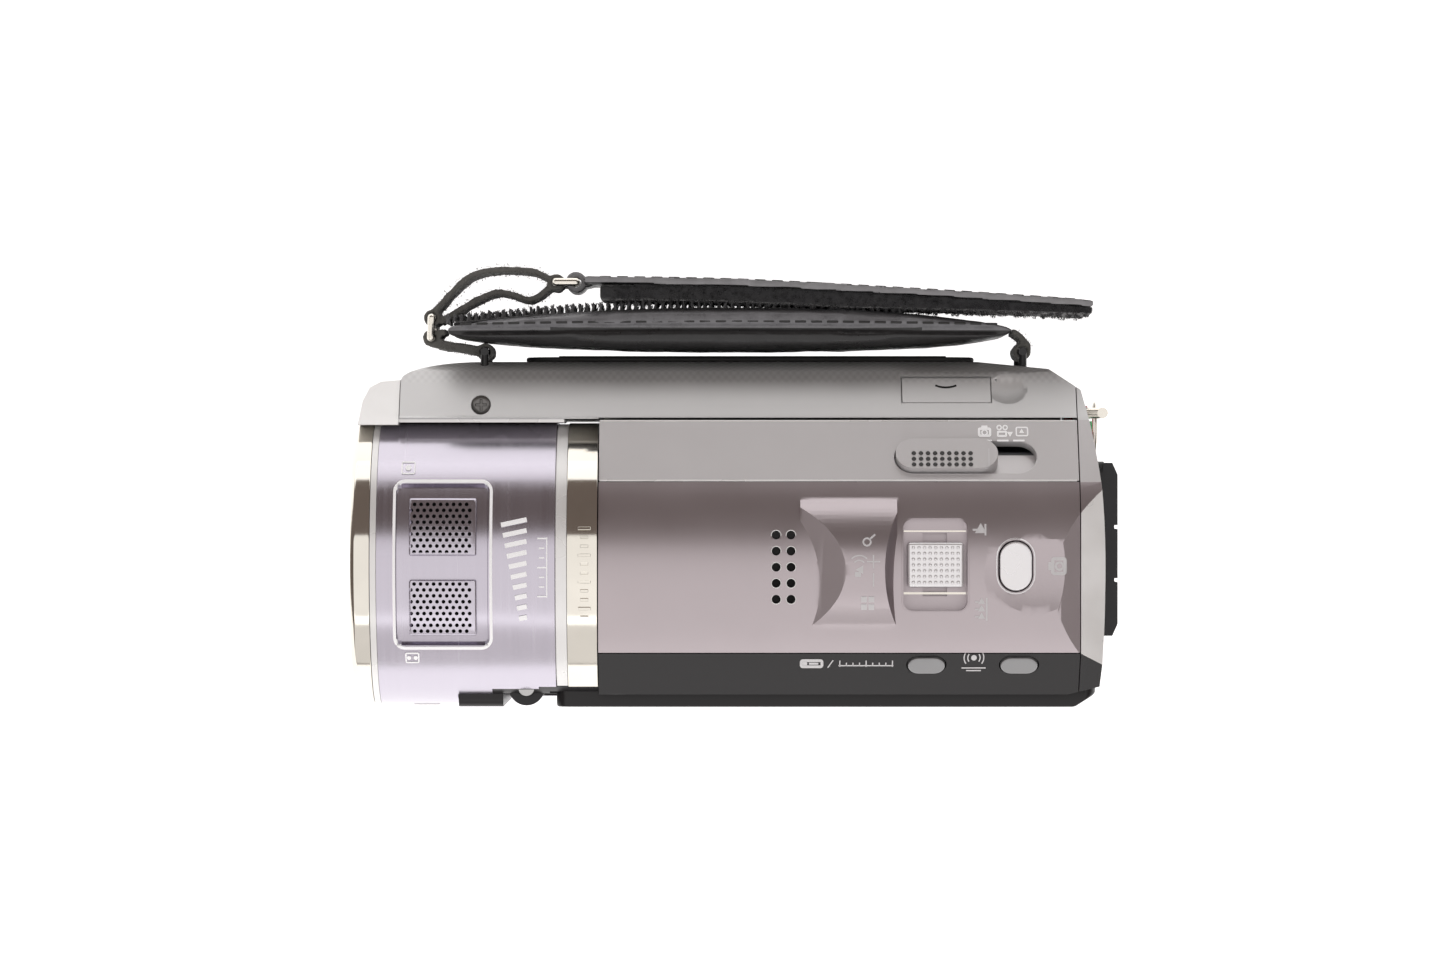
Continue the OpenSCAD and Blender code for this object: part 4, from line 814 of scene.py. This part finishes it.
def mode_slot_plate():
    """The knob's sliding dust plate, just under the sloping strip."""
    low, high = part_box("mode_switch_knob")
    middle_y = (low[1] + high[1]) / 2 / MM
    (top_y, top_z), (foot_y, foot_z) = STRIP_TOP, STRIP_FOOT
    slope_angle = math.atan2(foot_z - top_z, foot_y - top_y)
    surface_z = top_z + (middle_y - top_y) * math.tan(slope_angle)
    plate = block("mode_slot_plate", (18 * MM, -2.5 * MM, -1.75 * MM), (46.5 * MM, 2.5 * MM, -1.6 * MM))
    round_edges(plate, 0.04 * MM, 1)
    plate.data.transform(Matrix.Translation(Vector((0, middle_y, surface_z)) * MM)
                         @ Matrix.Rotation(slope_angle, 4, "X"))
    finish(plate, "mode_switch", SKINS["silver_knob"])


def photo_rim():
    lay("photo_button_rim", top, [frame_plate(41.5, -4.7, 5.9, 8.4, 2.9, 0.2, 3)], ROOT, SKINS["silver_knob"],
        -0.02, 0.09, 0.02)


speaker_rims()
top_marks()
mode_marks()
slope_marks()
edge_highlight_lines()
zoom_details()
mode_knob_details()
mode_slot_plate()
photo_rim()


# ---------- Grip side ----------
def screw_head(place, up, radius=1.42):
    """A screw head with a chamfered rim and a cross recess, its top at place."""
    head = rod("head", (0, 0, -0.7 * MM), (0, 0, -0.2 * MM), radius * MM, 40)
    hold(head)
    bpy.ops.object.mode_set(mode="EDIT")
    bpy.ops.mesh.select_all(action="DESELECT")
    mesh = bmesh.from_edit_mesh(head.data)
    for face in mesh.faces:
        face.select_set(face.normal.z > 0.9)
    bmesh.update_edit_mesh(head.data)
    bpy.ops.mesh.extrude_region_move(TRANSFORM_OT_translate={"value": (0, 0, 0.2 * MM)})
    bpy.ops.transform.resize(value=(0.72, 0.72, 1), center_override=(0, 0, 0))
    bpy.ops.object.mode_set(mode="OBJECT")
    for turn in (0, 90):
        groove = block("groove", (-0.85 * MM, -0.17 * MM, -0.45 * MM), (0.85 * MM, 0.17 * MM, MM))
        groove.data.transform(Matrix.Rotation(math.radians(turn), 4, "Z"))
        cut(head, groove)
    round_edges(head, 0.04 * MM, 1)
    turn = Matrix.Identity(4) if up else Matrix.Rotation(math.pi, 4, "X")
    head.data.transform(Matrix.Translation(Vector(place) * MM) @ turn)
    return head


GRIP_SCREW = (-38.4, 19.4, 47.97)
BASE_SCREWS = ((-14, 12.5), (12, 12.5), (47, 13), (46, -12.4), (12, -12.4))
BASE_SCREW_Z = 0.15


def screws():
    heads = [screw_head(GRIP_SCREW, True)]
    for x, y in BASE_SCREWS:
        heads.append(screw_head((x, y, BASE_SCREW_Z), False))
    obj = finish(smooth(join("case_screw_heads", heads)), ROOT, DARK_SCREW)
    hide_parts("case_screws")


def grip_details():
    flap = skins["jack_cover"]
    nail_arc = arc(31.6, 26.2, 4.3, 0.28, 246, 294)
    lay("jack_cover_nail_arc", flap, [nail_arc], "jack_flap", BLACK_FELT, 0.005, 0.02)
    ribs = []
    for row in range(9):
        z = (17.5 + 2.0 * row) * MM
        rib = block("rib", (-27 * MM, 26.7 * MM, z), (32 * MM, 27.0 * MM, z + 0.9 * MM))
        ribs.append(round_edges(rib, 0.12 * MM, 2))
    finish(join("grip_pad_ribs", ribs), ROOT, SKINS["rubber_grip"])


screws()
grip_details()


# ---------- Hand strap: soft goods, all in millimetres from the CAD's plan ----------
PAD_X = (-43.9, 41.7)
STRAP_Z = (17.0, 47.0)
WEB_Z = (24.5, 39.5)
FLAP_PATH = [(-22.8, 38.3), (0, 37.9), (25, 36.6), (41, 35.6), (53.8, 34.7)]
STRANDS = [[(-28.1, 38.6), (-31.8, 39.9), (-39.8, 39.3), (-45.8, 33.8)],
           [(-28.0, 37.6), (-31.3, 35.5), (-36.8, 36.5), (-45.0, 32.1)]]
END_WEBS = [[(-39.1, 27.75), (-42.5, 28.3), (-45.6, 28.8)], [(44.3, 27.85), (44.1, 28.8), (42.6, 30.35)]]
FLAP_RING_BAR = (-24.3, 38.1)
STRAP_MIDDLE_Z = 32
PAD_SWELL = 0.7
SEAM_DEPTH = 0.8
SIM_FRAMES = 20
PAD_PRESSURE = 4


def pad_edge(x, outer):
    across = (2 * x - PAD_X[0] - PAD_X[1]) / (PAD_X[1] - PAD_X[0])
    return 33.6 - 2.4 * across ** 2 if outer else 28.4 + 1.5 * across ** 2


def pad_middle(x):
    return (pad_edge(x, True) + pad_edge(x, False)) / 2


def curve(points, steps=8):
    """A smooth line through chosen points."""
    line = []
    ends = [points[0]] + list(points) + [points[-1]]
    for k in range(len(points) - 1):
        a, b, c, d = (Vector(p) for p in ends[k:k + 4])
        for j in range(steps):
            t = j / steps
            line.append(0.5 * (2 * b + (c - a) * t + (2 * a - 5 * b + 4 * c - d) * t * t
                               + (3 * b - a - 3 * c + d) * t ** 3))
    return line + [Vector(points[-1])]


def walk(line, pitch):
    """Places and headings every pitch along a line of points."""
    found, left = [], pitch / 2
    for start, end in zip(line, line[1:]):
        step = Vector(end) - Vector(start)
        done = left
        while done < step.length:
            found.append((Vector(start) + step * (done / step.length), step.normalized()))
            done += pitch
        left = done - step.length
    return found


def stitches(name, line, pitch=2.6, length=1.7, radius=0.18):
    first = rod("stitch", (0, 0, -length / 2 * MM), (0, 0, length / 2 * MM), radius * MM, 8)
    round_edges(first, radius * 0.6 * MM, 2, 60)
    copies = []
    for place, heading in walk(line, pitch):
        turn = Vector((0, 0, 1)).rotation_difference(heading).to_matrix().to_4x4()
        copies.append(twin(first, "stitch", place * MM, turn))
    bpy.data.objects.remove(first)
    return finish(smooth(join(name, copies)), ROOT, THREAD)


def tuft(name, count, length, radius, spread, seed, tip=0.0):
    """A bundle of short fibres that stands along +Y."""
    chance = random.Random(seed)
    fibres = []
    for _ in range(count):
        bpy.ops.mesh.primitive_cone_add(vertices=4, radius1=radius * MM, radius2=tip * MM,
                                        depth=length * chance.uniform(0.6, 1.1) * MM)
        fibre = bpy.context.object
        fibre.rotation_euler = (-math.pi / 2 + chance.uniform(-0.6, 0.6), chance.uniform(-0.5, 0.5),
                                chance.uniform(-0.6, 0.6))
        fibre.location = (chance.uniform(-spread, spread) * MM, length * 0.35 * MM,
                          chance.uniform(-spread, spread) * MM)
        fibres.append(settle(fibre, "fibre"))
    return join(name, fibres)


def scatter(name, first, spots, material, seed, wobble=0.15):
    """Copies of a tuft at (place, direction) spots, each turned at random about its own direction."""
    chance = random.Random(seed)
    copies = []
    for place, outward in spots:
        turn = Vector((0, 1, 0)).rotation_difference(outward).to_matrix().to_4x4()
        spin = Matrix.Rotation(chance.uniform(0, math.tau), 4, "Y")
        size = Matrix.Scale(chance.uniform(0.8, 1.15), 4)
        shift = Vector([chance.uniform(-wobble, wobble) for _ in range(3)])
        copies.append(twin(first, "tuft", (place + shift) * MM, turn @ spin @ size))
    bpy.data.objects.remove(first)
    return finish(join(name, copies), ROOT, material)


def soft_copy(node, cell, extra=()):
    """A merged copy of a soft CAD piece as one even mesh, joined with any extra shapes."""
    obj = moulding(node, 0)
    if extra:
        obj = join(node + "_skin", [obj, *extra])
    apply_modifier(obj, "REMESH", mode="VOXEL", voxel_size=cell * MM)
    return obj


def ruffle(obj, size, height):
    """Slow unevenness over a soft piece."""
    clouds = bpy.data.textures.new(obj.name + "_clouds", "CLOUDS")
    clouds.noise_scale = size * MM
    apply_modifier(obj, "DISPLACE", texture=clouds, texture_coords="LOCAL", strength=height * MM, mid_level=0.5)
    return obj


def strap_pad():
    pad = soft_copy("strap_pad", 0.85)
    before = [vertex.co.copy() for vertex in pad.data.vertices]
    hold(pad)
    filling = pad.modifiers.new("filling", "CLOTH")
    filling.settings.use_pressure = True
    filling.settings.uniform_pressure_force = PAD_PRESSURE
    filling.settings.effector_weights.gravity = 0
    filling.point_cache.frame_start = 1
    filling.point_cache.frame_end = SIM_FRAMES
    for frame_number in range(1, SIM_FRAMES + 1):
        bpy.context.scene.frame_set(frame_number)
    bpy.ops.object.modifier_apply(modifier="filling")
    for vertex, start in zip(pad.data.vertices, before):
        move = vertex.co - start
        if move.length > PAD_SWELL * MM:
            vertex.co = start + move * (PAD_SWELL * MM / move.length)
    bpy.context.scene.frame_set(1)
    apply_modifier(pad, "SUBSURF", levels=1, render_levels=1)
    for vertex in pad.data.vertices:
        place = vertex.co / MM
        near = abs(place.y - pad_middle(place.x)) / 0.8
        if near < 1 and abs(place.z - STRAP_MIDDLE_Z) > 13:
            vertex.co.z -= math.copysign((1 - near * near) * SEAM_DEPTH * MM, place.z - STRAP_MIDDLE_Z)
    ruffle(pad, 5.0, 0.25)
    smooth(pad, 180)
    finish(pad, ROOT, SKINS["strap_leather"])
    # The outer half's lighter leather is a painted highlight band over the real grain.
    second_skin(pad, OUTER_LEATHER_HIGHLIGHT, lambda place, _: place.y > pad_middle(place.x) + 0.1)
    xs = [PAD_X[0] + 2 + k * (PAD_X[1] - PAD_X[0] - 4) / 40 for k in range(41)]
    stitches("strap_pad_seam_stitches", [Vector((x, pad_middle(x) + 1.0, STRAP_Z[1] - 0.05)) for x in xs], 2.4)


def strap_flap():
    line = curve(FLAP_PATH)
    ring_x, ring_y = FLAP_RING_BAR
    fold = rod("fold", (ring_x * MM, ring_y * MM, WEB_Z[0] * MM), (ring_x * MM, ring_y * MM, WEB_Z[1] * MM),
               1.55 * MM, 32)
    tongue = block("tongue", (-24.2 * MM, 37.5 * MM, WEB_Z[0] * MM), (-22.0 * MM, 38.8 * MM, WEB_Z[1] * MM))
    flap = soft_copy("strap_flap", 0.33, (fold, tongue))
    eye = rod("eye", (ring_x * MM, ring_y * MM, 20 * MM), (ring_x * MM, ring_y * MM, 44 * MM), 0.85 * MM, 32)
    cut(flap, eye)
    ruffle(flap, 7.0, 0.35)
    ruffle(flap, 1.2, 0.08)
    smooth(flap, 60)
    finish(flap, ROOT, SKINS["strap_leather"])
    # The cut edges' lighter leather is partly their own paler tone and partly a painted highlight.
    second_skin(flap, CUT_EDGE_HIGHLIGHT, lambda place, normal: abs(normal.z) > 0.55)
    for z in (STRAP_Z[0] + 2, STRAP_Z[1] - 2):
        stitches("strap_flap_stitches", [Vector((p[0], p[1] + 0.47, z)) for p in line[1:-1]])


def flap_height(x):
    """The flap's middle line at x."""
    line = curve(FLAP_PATH)
    for start, end in zip(line, line[1:]):
        if x <= end[0]:
            return start[1] + (end[1] - start[1]) * (x - start[0]) / (end[0] - start[0])
    return line[-1][1]


def pile_depth(x):
    """How far the pile hangs under the flap; it thins towards the flap's tip."""
    return 2.3 - 1.25 * min(max((x - 16) / 36, 0), 1)


def strap_pile():
    line = [Vector((p[0], p[1] - 0.55 - pile_depth(p[0]) / 2)) for p in curve(FLAP_PATH)[2:-1]]
    start = block("pile_start", (-20.5 * MM, 35.25 * MM, 18 * MM), (-13 * MM, 37.5 * MM, 46 * MM))
    pile = soft_copy("strap_loop_pile", 0.4, (start,))
    for vertex in pile.data.vertices:
        x, y = vertex.co.x / MM, vertex.co.y / MM
        under = flap_height(x) - 0.55
        vertex.co.y = (under - (under - y) * pile_depth(x) / 2.4) * MM
    ruffle(pile, 1.1, 0.5)
    finish(smooth(pile, 180), ROOT, SKINS["hook_and_loop"])
    spots = []
    for place, _ in walk(line, 0.75):
        for z in (18.4, 22, 27, 32, 37, 41, 43.5, 45.6):
            low_side = place.y - pile_depth(place.x) / 2 + 0.1
            spots.append((Vector((place.x, low_side, z)), Vector((0, -1, 0.25 if z > 40 else 0)).normalized()))
        for share in (-0.4, -0.14, 0.14, 0.4):
            spots.append((Vector((place.x, place.y + share * pile_depth(place.x), 45.9)),
                          Vector((0, 0.1 * share, 1)).normalized()))
    first = tuft("pile_tuft", 9, 0.6, 0.06, 0.35, 11)
    scatter("strap_pile_fibres", first, spots, PILE_FIBRE, 12, 0.3)


def strap_hooks():
    strip_copy = soft_copy("strap_hook_strip", 0.3)
    finish(smooth(strip_copy, 60), ROOT, SKINS["hook_and_loop"])
    spots = []
    x = -43.6
    while x < 25:
        edge = pad_edge(x, True) + 0.7
        for z in (20.5, 24, 28, 32, 36, 39, 41.5, 43.2):
            spots.append((Vector((x, edge, z)), Vector((0.0, 1, 0.1)).normalized()))
        x += 1.05
    first = tuft("hook_tuft", 4, 1.3, 0.12, 0.16, 21, 0.08)
    scatter("strap_hook_bristles", first, spots, HOOK_FIBRE, 22, 0.08)


def strap_webs():
    for node, lines in (("strap_doubled_web", STRANDS), ("strap_end_webs", END_WEBS)):
        web = soft_copy(node, 0.26)
        ruffle(web, 2.2, 0.3)
        ruffle(web, 0.7, 0.25)
        apply_modifier(web, "DISPLACE", strength=-0.14 * MM, mid_level=0.0)
        finish(smooth(web, 180), ROOT, SKINS["strap_webbing"])
        spots = []
        for points in lines:
            for place, heading in walk(curve(points), 0.55):
                across = Vector((-heading.y, heading.x))
                for side_shift in (-0.4, 0.4):
                    edge = place + across * side_shift
                    outward = Vector((across.x * side_shift, across.y * side_shift, 0.8)).normalized()
                    spots.append((Vector((edge.x, edge.y, WEB_Z[1] - 0.15)), outward))
                    downward = Vector((outward.x, outward.y, -0.8))
                    spots.append((Vector((edge.x, edge.y, WEB_Z[0] + 0.15)), downward))
        scatter(node + "_fray", tuft("fray_tuft", 5, 0.6, 0.05, 0.3, 31), spots, SKINS["strap_webbing"],
                32, 0.2)


# ---------- Rear and underside ------------------------
def rear_details():
    """A rim and dot for the record button, the latch's grip ridges and the battery's index marks."""
    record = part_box("record_button")
    centre = [(record[0][axis] + record[1][axis]) / 2 for axis in range(3)]
    rim_place = Vector((54.86 * MM, centre[1], centre[2]))
    rim = ring("record_button_rim", rim_place, (1, 0, 0), 3.95 * MM, 0.2 * MM, 72, 12)
    dot = ball("record_dot", Vector((record[1][0] - 0.12 * MM, centre[1], centre[2])), 0.45 * MM)
    finish(smooth(rim, 60), ROOT, SKINS["warm_chrome"])
    finish(smooth(dot, 60), "record_key", GLOWING_WHITE)
    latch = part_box("battery_latch")
    ridges = []
    for step in range(4):
        y = latch[0][1] + (0.25 + 0.17 * step) * (latch[1][1] - latch[0][1])
        ridge = block("ridge", (latch[1][0] - 0.1 * MM, y - 0.12 * MM, latch[0][2] + 0.7 * MM),
                      (latch[1][0] + 0.12 * MM, y + 0.12 * MM, latch[1][2] - 0.5 * MM))
        ridges.append(round_edges(ridge, 0.05 * MM, 1))
    finish(smooth(join("latch_ridges", ridges)), "latch", SKINS["black_plastic"])
    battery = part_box("battery_pack")
    grooves = [round_edges(block("mark", (battery[1][0] - 0.02 * MM, (4 - 8 * side) * MM, 40 * MM),
                                 (battery[1][0] + 0.03 * MM, (4.5 - 8 * side) * MM, 43 * MM)), 0.01 * MM, 1)
               for side in (0, 1)]
    finish(join("battery_index_marks", grooves), "battery", GREY_INK)


def foot_details():
    """A plated rim round the tripod socket."""
    rim = ring("tripod_socket_rim", Vector((0, 0, 0.14 * MM)), (0, 0, 1), 3.6 * MM, 0.13 * MM, 64, 10)
    finish(smooth(rim, 60), ROOT, SKINS["brass_bush"])


rear_details()
foot_details()

strap_pad()
strap_flap()
strap_pile()
strap_hooks()
strap_webs()
